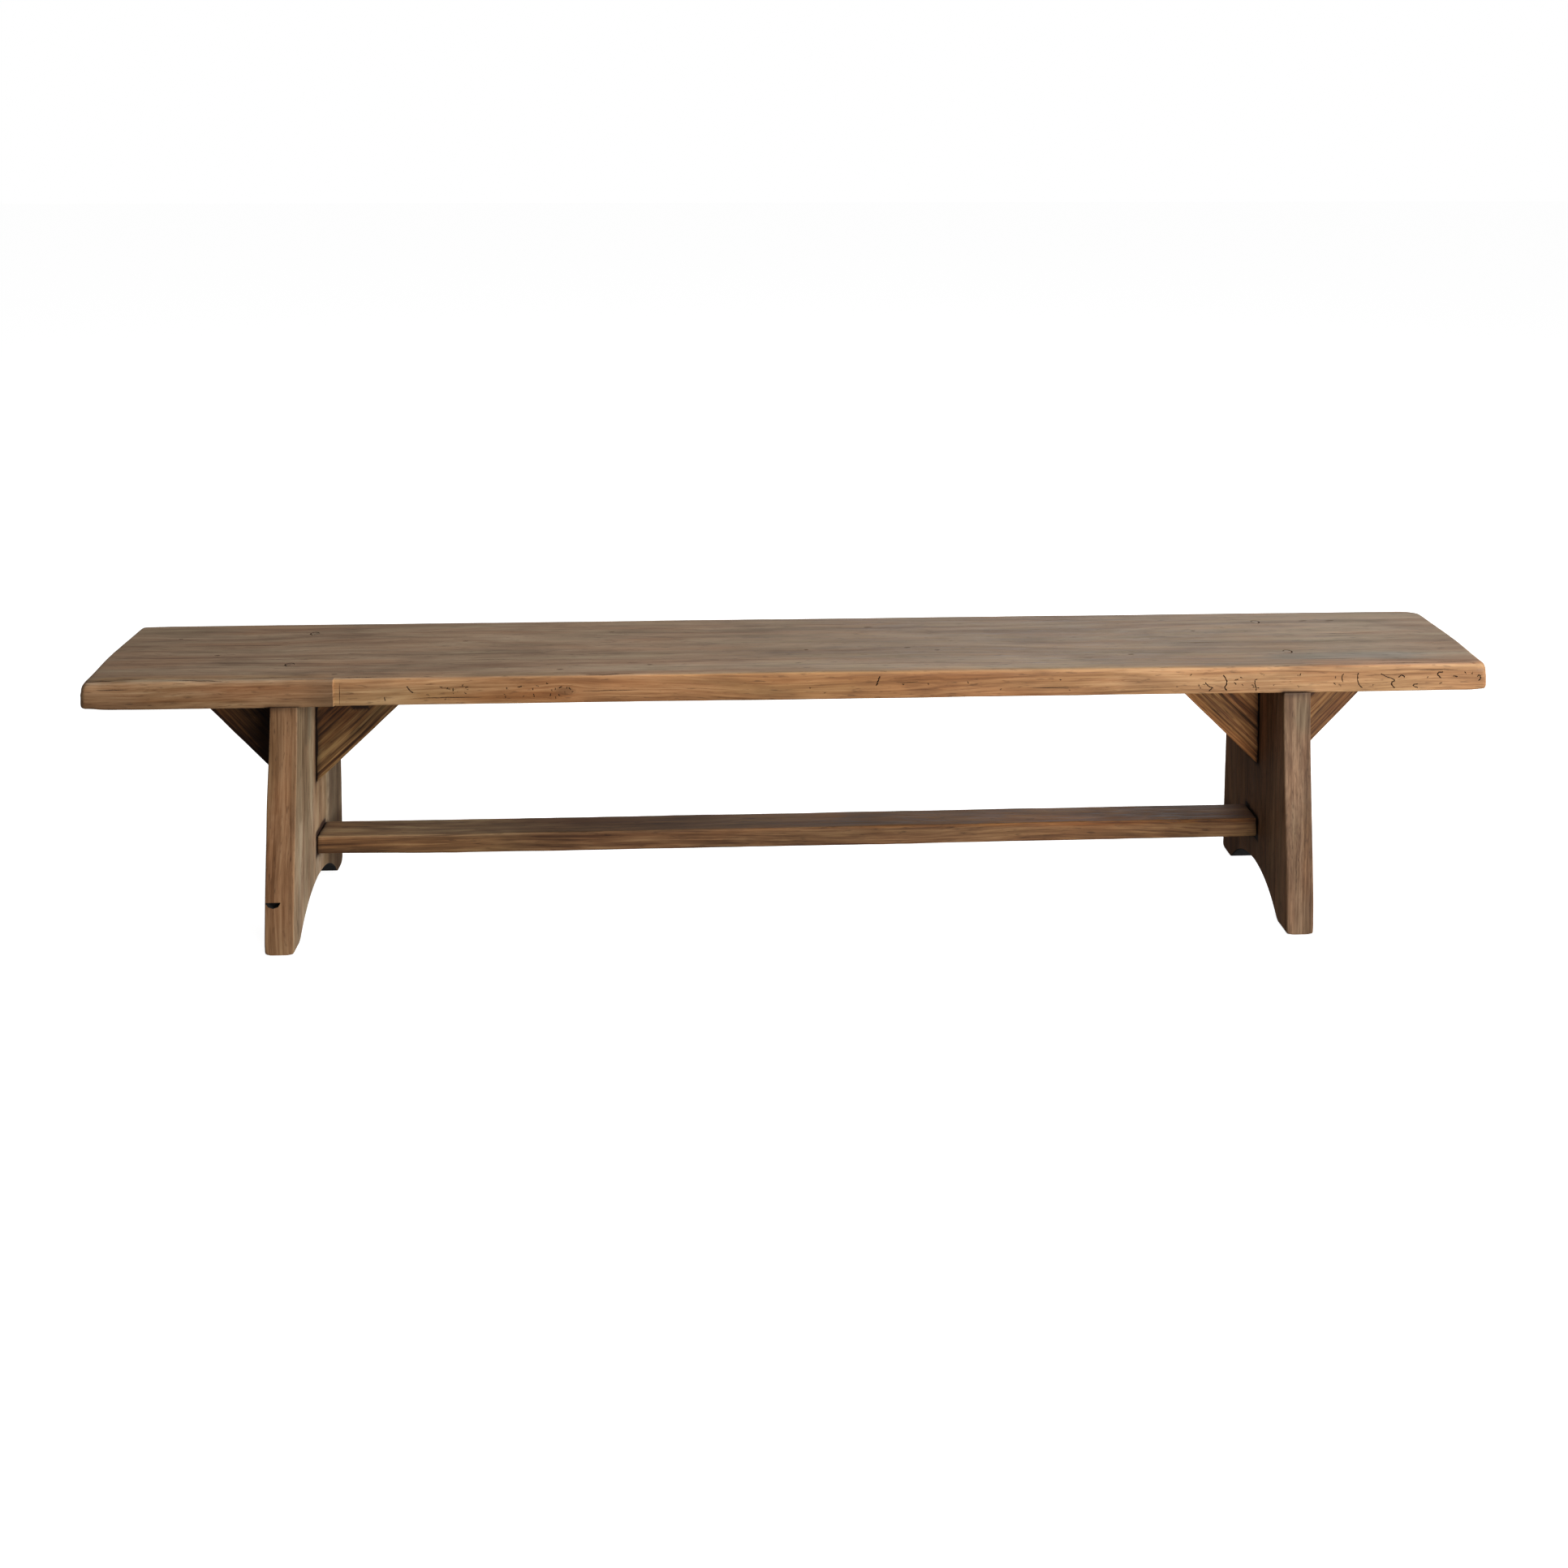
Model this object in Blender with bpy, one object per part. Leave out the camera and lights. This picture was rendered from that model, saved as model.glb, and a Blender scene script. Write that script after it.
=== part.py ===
"""Old wooden bench: one long plank on two board legs, with four triangular braces and a low stretcher.

Metres, +Z up. The origin is on the floor under the middle of the bench. +X runs along the seat to the
right and -Y is the front. The legs lean out towards the floor, so the braces, the stretcher and its
mortises all take their places from the leaning faces.
"""

import math

import bmesh
import bpy
from mathutils import Vector

# Clearances
JOINT_GAP = 0.0003
CUT_OVERRUN = 0.006

# Seat plank
SEAT_LENGTH = 2.282
SEAT_DEPTH = 0.290
SEAT_THICKNESS = 0.0456
SEAT_HEIGHT = 0.450
SEAT_OVERHANG = 0.3223
SEAT_CORNER_RADIUS = 0.012
SEAT_ARRIS = 0.004
SEAT_FRONT_ARRIS = 0.007
SEAT_WORN_ARRIS = 0.011
SEAT_END_SKEW = 0.006
OLD_EDGE_LENGTH = 0.401
OLD_EDGE_PROUD = 0.004
STEP_WIDTH = 0.0006

# Legs
LEG_SHIFT = -0.003
LEG_LEAN = 0.0128
LEG_THICKNESS = {"left": 0.0470, "right": 0.0452}
LEG_TOP_DEPTH = 0.288
LEG_FOOT_DEPTH = 0.334
LEG_ARRIS = 0.003
FRONT_TOE_RADIUS = 0.004
REAR_TOE_RADIUS = 0.015
HEEL_RADIUS = 0.010
ARCH_SPAN = {"left": 0.254, "right": 0.240}
ARCH_RISE = {"left": 0.057, "right": 0.0535}

# Chip in the left leg's front edge
CHIP_WIDTH = 0.023
CHIP_HEIGHT = 0.009
CHIP_DEPTH = 0.010
CHIP_TOP = 0.088
CHIP_RIM = 0.002

# Braces
BRACE_REACH = {"left": {"outer": 0.171, "inner": 0.181}, "right": {"outer": 0.171, "inner": 0.169}}
BRACE_DROP = {"left": {"outer": 0.177, "inner": 0.176}, "right": {"outer": 0.177, "inner": 0.171}}
BRACE_THICKNESS = 0.051
BRACE_TIP = 0.004
BRACE_ARRIS = 0.0015

# Stretcher and its stub tenons
STRETCHER_HEIGHT = 0.0355
STRETCHER_DEPTH = 0.0626
STRETCHER_TOP = {"left": 0.1334, "right": 0.1378}
STRETCHER_BACK_SHIFT = 0.009
STRETCHER_ARRIS = 0.003
TENON_LENGTH = 0.022
TENON_HEIGHT = 0.019
TENON_DEPTH = 0.042

# Pegs through the seat into the legs
PEG_DIAMETER = 0.014
PEG_IN_LEG = 0.045
PEG_BELOW_TOP = 0.0005
PEG_CHAMFER = 0.0015
PEG_PLACES_Y = {"front": -0.070, "rear": 0.093}
PEG_OUTWARD = {"left": 0.006, "right": 0.010}

# Nails through the braces
NAIL_LENGTH = 0.070
NAIL_SHANK = 0.0050
NAIL_TIP = 0.0020
NAIL_HEAD_DIAMETER = 0.010
NAIL_HEAD_HEIGHT = 0.0020
NAIL_SUNK = 0.0025
NAIL_FROM_TIP = 0.050
NAIL_SPREAD = 0.010

# Counts
ARRIS_STEPS = 3
CORNER_STEPS = 6
FLARE_STEPS = 14
ARCH_STEPS = 24
RING_POINTS = 16

# Angles
SHARP_ANGLE = math.radians(50)
ARRIS_ANGLE = math.radians(60)

# Worked out from the sizes above
SEAT_UNDERSIDE = SEAT_HEIGHT - SEAT_THICKNESS
LEG_HEIGHT = SEAT_UNDERSIDE - JOINT_GAP
LEG_SPACING = SEAT_LENGTH - 2 * SEAT_OVERHANG
SIDES = {"left": -1, "right": 1}
FACINGS = {"inner": -1, "outer": 1}

# Colours as shown on a display, from 0 to 255, with each piece's roughness
FINISHES = {
    "seat": ((136, 117, 99), 0.75),
    "leg": ((127, 99, 75), 0.78),
    "brace": ((90, 62, 40), 0.80),
    "stretcher": ((102, 77, 55), 0.78),
    "peg": ((84, 68, 54), 0.75),
    "nail": ((62, 54, 48), 0.55),
}


# Small helpers

def clear_scene():
    for obj in list(bpy.data.objects):
        bpy.data.objects.remove(obj, do_unlink=True)


def linear(shown):
    """A display value from 0 to 255 as the linear value that a shader takes."""
    share = shown / 255
    if share <= 0.04045:
        return share / 12.92
    return ((share + 0.055) / 1.055) ** 2.4


def finish_for(name, kind):
    colour, roughness = FINISHES[kind]
    material = bpy.data.materials.new(name)
    material.use_nodes = True
    shader = material.node_tree.nodes["Principled BSDF"]
    shader.inputs["Base Color"].default_value = (*map(linear, colour), 1)
    shader.inputs["Roughness"].default_value = roughness
    shader.inputs["Metallic"].default_value = 0.9 if kind == "nail" else 0
    return material


def add_object(name, bm, place, parent):
    """Closes the bmesh into an object at place, with its faces pointing out."""
    bmesh.ops.recalc_face_normals(bm, faces=bm.faces)
    mesh = bpy.data.meshes.new(name)
    bm.to_mesh(mesh)
    bm.free()
    obj = bpy.data.objects.new(name, mesh)
    bpy.context.scene.collection.objects.link(obj)
    obj.location = place
    obj.parent = parent
    return obj


def as_piece(obj, kind):
    obj.data.materials.append(finish_for(obj.name, kind))
    obj.data.shade_smooth()
    obj.data.set_sharp_from_angle(angle=SHARP_ANGLE)
    return obj


def as_cutter(obj):
    obj.hide_render = True
    obj.display_type = "WIRE"
    return obj


def cut(piece, cutters):
    for cutter in cutters:
        boolean = piece.modifiers.new(cutter.name, "BOOLEAN")
        boolean.operation = "DIFFERENCE"
        boolean.solver = "EXACT"
        boolean.object = cutter


def lofted(loops):
    """A closed bmesh through loops of points that all have the same count."""
    bm = bmesh.new()
    rings = [[bm.verts.new(point) for point in loop] for loop in loops]
    for ring, following in zip(rings, rings[1:]):
        for at in range(len(ring)):
            after = (at + 1) % len(ring)
            bm.faces.new((ring[at], ring[after], following[after], following[at]))
    bm.faces.new(list(reversed(rings[0])))
    bm.faces.new(rings[-1])
    return bm


def ease(bm, edges, width):
    """Rounds the given edges."""
    bmesh.ops.bevel(bm, geom=edges, offset=width, segments=ARRIS_STEPS, profile=0.5, affect="EDGES")


def spaced(start, end, steps):
    """Evenly spaced values from start to end, both included."""
    return [start + (end - start) * step / steps for step in range(steps + 1)]


def arc(centre, radius, start, end, steps):
    """Points of an arc in a plane, both ends included; a radius may be a pair for an ellipse."""
    across, up = radius if isinstance(radius, tuple) else (radius, radius)
    angles = spaced(start, end, steps)
    return [(centre[0] + across * math.cos(angle), centre[1] + up * math.sin(angle)) for angle in angles]


def fillet(before, corner, after, radius):
    """The arc that rounds the corner between two straight runs."""
    corner = Vector(corner)
    back = (Vector(before) - corner).normalized()
    ahead = (Vector(after) - corner).normalized()
    half_angle = back.angle(ahead) / 2
    centre = corner + (back + ahead).normalized() * radius / math.sin(half_angle)
    start = corner + back * radius / math.tan(half_angle) - centre
    outward = corner - centre
    turn = math.pi - 2 * half_angle
    if start.x * outward.y < start.y * outward.x:
        turn = -turn
    first = math.atan2(start.y, start.x)
    return arc(centre, radius, first, first + turn, CORNER_STEPS)


# Places that the pieces share

def leg_middle(leg, z):
    """Where the middle of a leg's thickness is at height z."""
    lean = LEG_LEAN * (1 - z / LEG_HEIGHT)
    return LEG_SHIFT + SIDES[leg] * (LEG_SPACING / 2 + lean)


def leg_face(leg, facing, z):
    """Where a leg's inner or outer face is at height z."""
    return leg_middle(leg, z) + SIDES[leg] * FACINGS[facing] * LEG_THICKNESS[leg] / 2


def rounded_inset(distance, radius):
    """How far a rounded edge lies in from its flat, at a distance from its end."""
    if distance >= radius:
        return 0
    return radius - math.sqrt(radius**2 - (radius - distance) ** 2)


# Seat plank

def seat_section(x, from_end, front):
    """One cross-section of the plank: a rectangle with its four arrises rounded."""
    side_inset = rounded_inset(from_end, SEAT_CORNER_RADIUS)
    flat_inset = rounded_inset(from_end, SEAT_ARRIS)
    back = SEAT_DEPTH / 2 - side_inset
    front = front + side_inset
    top = SEAT_HEIGHT - flat_inset
    bottom = SEAT_UNDERSIDE + flat_inset
    along = x / SEAT_LENGTH + 0.5
    front_arris = SEAT_FRONT_ARRIS + (SEAT_WORN_ARRIS - SEAT_FRONT_ARRIS) * along**2
    corners = (
        (back - SEAT_ARRIS, top - SEAT_ARRIS, SEAT_ARRIS, 0),
        (front + front_arris, top - front_arris, front_arris, math.pi / 2),
        (front + SEAT_ARRIS, bottom + SEAT_ARRIS, SEAT_ARRIS, math.pi),
        (back - SEAT_ARRIS, bottom + SEAT_ARRIS, SEAT_ARRIS, 3 * math.pi / 2),
    )
    section = []
    for y, z, radius, start in corners:
        section += arc((y, z), radius, start, start + math.pi / 2, ARRIS_STEPS)
    skew = SEAT_END_SKEW * max(0, 2 * x / SEAT_LENGTH)
    square_y = SEAT_DEPTH / 2 - SEAT_CORNER_RADIUS
    return [(x - skew * (square_y - y) / SEAT_DEPTH, y, z) for y, z in section]


def build_seat(parent):
    """The front edge stands proud up to a saw cut near the left end, and is trimmed back after it."""
    old_front = -SEAT_DEPTH / 2 - OLD_EDGE_PROUD
    new_front = -SEAT_DEPTH / 2
    step_x = OLD_EDGE_LENGTH - SEAT_LENGTH / 2
    in_from_end = [SEAT_CORNER_RADIUS * (step / CORNER_STEPS) ** 2 for step in range(CORNER_STEPS + 1)]
    sections = [seat_section(d - SEAT_LENGTH / 2, d, old_front) for d in in_from_end]
    sections.append(seat_section(step_x - STEP_WIDTH / 2, OLD_EDGE_LENGTH, old_front))
    sections.append(seat_section(step_x + STEP_WIDTH / 2, OLD_EDGE_LENGTH, new_front))
    sections += [seat_section(SEAT_LENGTH / 2 - d, d, new_front) for d in reversed(in_from_end)]
    return as_piece(add_object("seat_plank", lofted(sections), (0, 0, 0), parent), "seat")


# Legs

def leg_edge(z):
    """Half the leg's depth at height z: it flares from the top to the foot in a gentle S."""
    down = 1 - z / LEG_HEIGHT
    flare = down * down * (3 - 2 * down)
    return (LEG_TOP_DEPTH + (LEG_FOOT_DEPTH - LEG_TOP_DEPTH) * flare) / 2


def leg_outline(leg):
    """The leg seen from the end of the bench: flared edges, rounded toes and a low arch between the feet."""
    front = [(-leg_edge(z), z) for z in spaced(LEG_HEIGHT, 2 * FRONT_TOE_RADIUS, FLARE_STEPS)]
    rear = [(leg_edge(z), z) for z in spaced(2 * REAR_TOE_RADIUS, LEG_HEIGHT, FLARE_STEPS)]
    toe = LEG_FOOT_DEPTH / 2
    heel = ARCH_SPAN[leg] / 2
    arch_radius = (heel**2 + ARCH_RISE[leg] ** 2) / (2 * ARCH_RISE[leg])
    arch_middle = ARCH_RISE[leg] - arch_radius
    half_sweep = math.asin(heel / arch_radius)
    arch = arc((0, arch_middle), arch_radius, math.pi / 2 + half_sweep, math.pi / 2 - half_sweep, ARCH_STEPS)
    arch = [point for point in arch if abs(point[0]) < heel - HEEL_RADIUS / 2]
    outline = front
    outline += fillet(front[-1], (-toe, 0), (0, 0), FRONT_TOE_RADIUS)
    outline += fillet((-toe, 0), (-heel, 0), arch[0], HEEL_RADIUS)
    outline += arch
    outline += fillet(arch[-1], (heel, 0), (toe, 0), HEEL_RADIUS)
    outline += fillet((heel, 0), (toe, 0), rear[0], REAR_TOE_RADIUS)
    return outline + rear


def build_leg(leg, parent):
    thickness = LEG_THICKNESS[leg]
    outline = leg_outline(leg)
    bm = lofted([[(x, y, z) for y, z in outline] for x in (-thickness / 2, thickness / 2)])
    arrises = [edge for edge in bm.edges if edge.calc_face_angle(0) > ARRIS_ANGLE]
    ease(bm, arrises, LEG_ARRIS)
    floor_x = leg_middle(leg, 0)
    for vert in bm.verts:
        vert.co.x += leg_middle(leg, vert.co.z) - floor_x
    return as_piece(add_object(f"{leg}_leg", bm, (floor_x, 0, 0), parent), "leg")


def chip_cutter(leg, parent):
    """The half-moon chip low in the front edge, flat above and round below."""
    x = leg_face(leg, "outer", CHIP_TOP) - SIDES[leg] * (CHIP_RIM + CHIP_WIDTH / 2)
    front = -leg_edge(CHIP_TOP)
    y_span = (front - CUT_OVERRUN, front + CHIP_DEPTH)
    outline = arc((0, 0), (CHIP_WIDTH / 2, CHIP_HEIGHT), 0, -math.pi, RING_POINTS)
    bm = lofted([[(across, y, up) for across, up in outline] for y in y_span])
    return as_cutter(add_object(f"{leg}_chip", bm, (x, 0, CHIP_TOP), parent))


# Braces

def build_brace(leg, facing, parent):
    """A triangular block in the corner of leg and seat, cut to the lean of the leg."""
    away = SIDES[leg] * FACINGS[facing]
    top = LEG_HEIGHT
    low = LEG_HEIGHT - BRACE_DROP[leg][facing]
    at_top = leg_face(leg, facing, top) + away * JOINT_GAP
    at_low = leg_face(leg, facing, low) + away * JOINT_GAP
    reach = at_top + away * BRACE_REACH[leg][facing]
    upper = [(at_top, top), (reach, top), (reach, top - BRACE_TIP)]
    lower = [(at_low + away * BRACE_TIP, low), (at_low, low)]
    outline = upper + lower
    half = BRACE_THICKNESS / 2
    bm = lofted([[(x - at_top, y, z - top) for x, z in outline] for y in (-half, half)])
    ease(bm, list(bm.edges), BRACE_ARRIS)
    return as_piece(add_object(f"{leg}_{facing}_brace", bm, (at_top, 0, top), parent), "brace")


# Stretcher

def stretcher_middle(leg):
    """The height of the stretcher's middle where it meets a leg."""
    return STRETCHER_TOP[leg] - STRETCHER_HEIGHT / 2


def stretcher_section(leg, x_at, size):
    """A rectangle across the stretcher near a leg, its x following x_at, a function of height."""
    depth, height = size
    corners = ((-1, -1), (1, -1), (1, 1), (-1, 1))
    section = []
    for across, up in corners:
        z = stretcher_middle(leg) + up * height / 2
        section.append((x_at(z), STRETCHER_BACK_SHIFT + across * depth / 2, z))
    return section


def tenon_section(leg, into_leg, size):
    """An upright section that lies into the leg from its inner face, or clear of it."""
    x = leg_face(leg, "inner", stretcher_middle(leg)) + SIDES[leg] * into_leg
    return stretcher_section(leg, lambda z: x, size)


def shoulder_section(leg, size):
    """A section that follows the lean of the leg's inner face, just clear of it."""
    return stretcher_section(leg, lambda z: leg_face(leg, "inner", z) - SIDES[leg] * JOINT_GAP, size)


def build_stretcher(parent):
    """A flat rail between the legs, a little higher at the right one, with a stub tenon in each."""
    full = (STRETCHER_DEPTH, STRETCHER_HEIGHT)
    tenon = (TENON_DEPTH, TENON_HEIGHT)
    ends = {}
    for leg in SIDES:
        tenon_end = tenon_section(leg, TENON_LENGTH, tenon)
        ends[leg] = [tenon_end, shoulder_section(leg, tenon), shoulder_section(leg, full)]
    bm = lofted(ends["left"] + ends["right"][::-1])
    span = LEG_SPACING / 2
    long_edges = [edge for edge in bm.edges if edge.calc_length() > span]
    ease(bm, long_edges, STRETCHER_ARRIS)
    return as_piece(add_object("stretcher", bm, (0, 0, 0), parent), "stretcher")


def mortise_cutter(leg, parent):
    size = (TENON_DEPTH + 2 * JOINT_GAP, TENON_HEIGHT + 2 * JOINT_GAP)
    sections = [tenon_section(leg, into_leg, size) for into_leg in (-CUT_OVERRUN, TENON_LENGTH + JOINT_GAP)]
    return as_cutter(add_object(f"{leg}_mortise", lofted(sections), (0, 0, 0), parent))


# Pegs and nails

def ring(height, half_width, square):
    """A ring of points round local Z: a circle, or a square of the same half width."""
    points = []
    for at in range(RING_POINTS):
        angle = 2 * math.pi * at / RING_POINTS
        across, up = math.cos(angle), math.sin(angle)
        stretch = 1 / max(abs(across), abs(up)) if square else 1
        points.append((half_width * across * stretch, half_width * up * stretch, height))
    return points


def peg_place(leg, row):
    x = leg_middle(leg, LEG_HEIGHT) + SIDES[leg] * PEG_OUTWARD[leg]
    return (x, PEG_PLACES_Y[row], SEAT_HEIGHT)


def build_peg(leg, row, parent):
    """A wooden peg, nearly flush with the seat, that goes down into the leg's top."""
    radius = PEG_DIAMETER / 2
    low = PEG_IN_LEG + JOINT_GAP + SEAT_THICKNESS
    rings = [
        ring(-low, radius - PEG_CHAMFER, False),
        ring(PEG_CHAMFER - low, radius, False),
        ring(-PEG_BELOW_TOP - PEG_CHAMFER / 2, radius, False),
        ring(-PEG_BELOW_TOP, radius - PEG_CHAMFER / 2, False),
    ]
    return as_piece(add_object(f"{leg}_{row}_peg", lofted(rings), peg_place(leg, row), parent), "peg")


def peg_hole_cutter(leg, row, parent):
    radius = PEG_DIAMETER / 2 + JOINT_GAP
    low = PEG_IN_LEG + 2 * JOINT_GAP + SEAT_THICKNESS
    rings = [ring(-low, radius, False), ring(CUT_OVERRUN, radius, False)]
    return as_cutter(add_object(f"{leg}_{row}_peg_hole", lofted(rings), peg_place(leg, row), parent))


def nail_place(leg, facing, into):
    """Where a nail's head sits in the sloping side of a brace, and which way the nail is driven."""
    away = SIDES[leg] * FACINGS[facing]
    reach, drop = BRACE_REACH[leg][facing], BRACE_DROP[leg][facing]
    slope = drop / reach
    head_room = NAIL_HEAD_DIAMETER / 2 + JOINT_GAP
    y = -FACINGS[facing] * NAIL_SPREAD
    if into == "seat":
        x = leg_face(leg, facing, LEG_HEIGHT) + away * (reach - NAIL_FROM_TIP)
        thickness = (NAIL_FROM_TIP - head_room) * slope
        return Vector((x, y, LEG_HEIGHT - thickness + NAIL_SUNK)), Vector((0, 0, 1))
    z = LEG_HEIGHT - drop + NAIL_FROM_TIP
    thickness = (NAIL_FROM_TIP - head_room) / slope
    return Vector((leg_face(leg, facing, z) + away * (thickness - NAIL_SUNK), y, z)), Vector((-away, 0, 0))


def turned_along(obj, direction):
    obj.rotation_mode = "QUATERNION"
    obj.rotation_quaternion = direction.to_track_quat("Z", "Y")
    return obj


def build_nail(leg, facing, into, parent):
    """A forged nail: a low round head on a square, tapered shank."""
    place, direction = nail_place(leg, facing, into)
    head = NAIL_HEAD_DIAMETER / 2
    rings = [
        ring(-NAIL_HEAD_HEIGHT, head / 2, False),
        ring(-NAIL_HEAD_HEIGHT / 2, head, False),
        ring(0, head, False),
        ring(0, NAIL_SHANK / 2, True),
        ring(NAIL_LENGTH, NAIL_TIP / 2, True),
    ]
    nail = add_object(f"{leg}_{facing}_{into}_nail", lofted(rings), place, parent)
    return as_piece(turned_along(nail, direction), "nail")


def nail_hole_cutter(leg, facing, into, parent):
    """The nail's own shape with clearance, and a pocket from its head out through the sloping side."""
    place, direction = nail_place(leg, facing, into)
    head = NAIL_HEAD_DIAMETER / 2 + JOINT_GAP
    rings = [
        ring(-NAIL_SUNK - 2 * head - CUT_OVERRUN, head, False),
        ring(JOINT_GAP, head, False),
        ring(JOINT_GAP, NAIL_SHANK / 2 + JOINT_GAP, True),
        ring(NAIL_LENGTH + JOINT_GAP, NAIL_TIP / 2 + JOINT_GAP, True),
    ]
    cutter = add_object(f"{leg}_{facing}_{into}_nail_hole", lofted(rings), place, parent)
    return as_cutter(turned_along(cutter, direction))


# The whole bench

def build_leg_group(leg, seat, parent):
    """One leg with all that is fixed to it, and the holes that this makes in the seat."""
    leg_board = build_leg(leg, parent)
    cut(leg_board, [mortise_cutter(leg, parent)])
    if leg == "left":
        cut(leg_board, [chip_cutter(leg, parent)])
    for row in PEG_PLACES_Y:
        build_peg(leg, row, parent)
        hole = peg_hole_cutter(leg, row, parent)
        cut(leg_board, [hole])
        cut(seat, [hole])
    for facing in FACINGS:
        brace = build_brace(leg, facing, parent)
        for into, carrier in (("seat", seat), ("leg", leg_board)):
            build_nail(leg, facing, into, parent)
            hole = nail_hole_cutter(leg, facing, into, parent)
            cut(brace, [hole])
            cut(carrier, [hole])


def main():
    clear_scene()
    bench = bpy.data.objects.new("bench", None)
    bpy.context.scene.collection.objects.link(bench)
    seat = build_seat(bench)
    for leg in SIDES:
        build_leg_group(leg, seat, bench)
    build_stretcher(bench)


main()
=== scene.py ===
"""The looks of an old wooden bench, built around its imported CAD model.

Metres, in the CAD's own frame: +X runs along the seat to the right, -Y is the front and the floor is z = 0.
Each board is a dense mesh in box coordinates (along the grain, across it, through it) that a warp
function carries to its real place, so that wear, waves and cracks can follow the grain.
"""

import random
from itertools import product
from math import atan2, cos, pi, radians, sin, sqrt

import bmesh
import bpy
import numpy as np
from mathutils import Matrix, Vector


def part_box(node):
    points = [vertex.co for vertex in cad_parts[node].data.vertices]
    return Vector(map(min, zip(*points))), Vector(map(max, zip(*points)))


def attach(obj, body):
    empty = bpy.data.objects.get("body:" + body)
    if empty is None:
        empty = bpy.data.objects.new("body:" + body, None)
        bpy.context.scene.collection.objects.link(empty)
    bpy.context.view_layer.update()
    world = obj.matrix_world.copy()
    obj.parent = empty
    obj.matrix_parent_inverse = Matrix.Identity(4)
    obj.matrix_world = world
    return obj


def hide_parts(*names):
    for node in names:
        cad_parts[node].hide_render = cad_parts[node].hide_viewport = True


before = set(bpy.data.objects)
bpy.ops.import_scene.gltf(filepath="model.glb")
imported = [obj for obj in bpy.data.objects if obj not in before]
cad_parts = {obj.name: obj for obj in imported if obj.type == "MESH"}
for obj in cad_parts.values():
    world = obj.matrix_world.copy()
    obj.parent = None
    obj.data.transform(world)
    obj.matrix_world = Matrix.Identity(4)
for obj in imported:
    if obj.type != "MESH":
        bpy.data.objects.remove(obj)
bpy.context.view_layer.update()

BODY = "root"

# Camera, fitted to the photograph
CAMERA_PLACE = (-0.1223, -2.6131, 1.3041)
CAMERA_PITCH = 6.3
CAMERA_YAW = -2.326
CAMERA_LENS = 36.38
CAMERA_SENSOR = 36
CAMERA_SHIFT_Y = -0.3

# Light: each area light has a place, a target, a size and a power
AREA_LIGHTS = {
    "window": ((3.9, -2.3, 1.3), (0.2, 0.0, 0.3), (1.8, 2.2), 190),
    "front": ((1.2, -3.3, 0.75), (0.1, 0.0, 0.25), (1.6, 1.3), 52),
    "ceiling": ((0.5, -0.3, 3.0), (0.0, 0.0, 0.3), (3.0, 2.0), 45),
    "back": ((1.2, 3.4, 1.6), (0.0, 0.0, 0.3), (2.0, 1.6), 30),
}
SKY_LIGHT = 0.2
BOUNCE_LIGHT = 0.1
FLOOR_SIZE = 60
FLOOR_DROP = 0.0005

# Sizes that the CAD model has too
SEAT_STEP_X = -0.74
SEAT_STEP_PROUD = 0.004
STEP_SOFTNESS = 0.0004
SEAT_CORNER_RADIUS = 0.012
REAR_RIGHT_CORNER_RADIUS = 0.026
SEAT_END_SKEW = 0.0046
LEG_LEAN = 0.0128
SEEN_LEAN = {"left": 0.0128, "right": 0.0108}
LEG_TOP_DEPTH = 0.288
HEEL_RADIUS = 0.016
FRONT_TOE_RADIUS = 0.001
REAR_TOE_RADIUS = {"left": 0.014, "right": 0.008}
ARCH_SPAN = {"left": 0.254, "right": 0.24}
ARCH_RISE = {"left": 0.057, "right": 0.0535}
CHIP_SIZE = (0.023, 0.0095)
CHIP_DEPTH = 0.014
CHIP_TOP = 0.088
CHIP_RIM = 0.002
BRACE_BLUNT = 0.015
STRETCHER_HEIGHT = 0.0355
TENON_LENGTH = 0.022
TENON_HEIGHT = 0.019
TENON_DEPTH = 0.042
NAIL_SHANK = 0.005
NAIL_HEAD_HEIGHT = 0.002
CUT_OVERRUN = 0.006
MARK_SINK = 0.0006
JOINT_GAP = 0.0003

# Mesh
ALONG_SPACING = 0.005
ACROSS_SPACING = 0.004
STRETCHER_SPACING = 0.003
ARRIS_LINES = 5
SEAT_ARRIS = 0.014
LEG_ARRIS = 0.006
BRACE_ARRIS = 0.004
STRETCHER_ARRIS = 0.005
TUBE_SIDES = 8
HOLE_SIDES = 40
CHIP_STEPS = 20
SHARP_ANGLE = 42

# The worn gap beside each peg: its shift out and to the front, how much wider it is, and its floor
PEG_GAP_SHIFT = (0.0008, -0.002)
PEG_GAP_ROOM = 0.0005
PEG_GAP_FLOOR = 0.446

# Dirt and painted shade beside a neighbour: the dark seam's edge, and how far the softer band of painted
# shade beyond it reaches
SEAM_EDGE = (0.0008, 0.004)
SHADE_BAND_REACH = 0.012

SIDES = {"left": -1, "right": 1}
FACINGS = {"outer": 1, "inner": -1}
ROWS = ("front", "rear")


# Noise

def scattered(lattice, seed):
    """A fixed random value from -1 to 1 for each whole-number place."""
    x, y, z = (lattice[:, axis].astype(np.int64) for axis in range(3))
    mixed = (x * 73856093) ^ (y * 19349663) ^ (z * 83492791) ^ (seed * 2654435761)
    mixed = (mixed ^ (mixed >> 13)) * 1274126177
    mixed = mixed ^ (mixed >> 16)
    return (mixed & 0xFFFFFF) / float(0x7FFFFF) - 1


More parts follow.
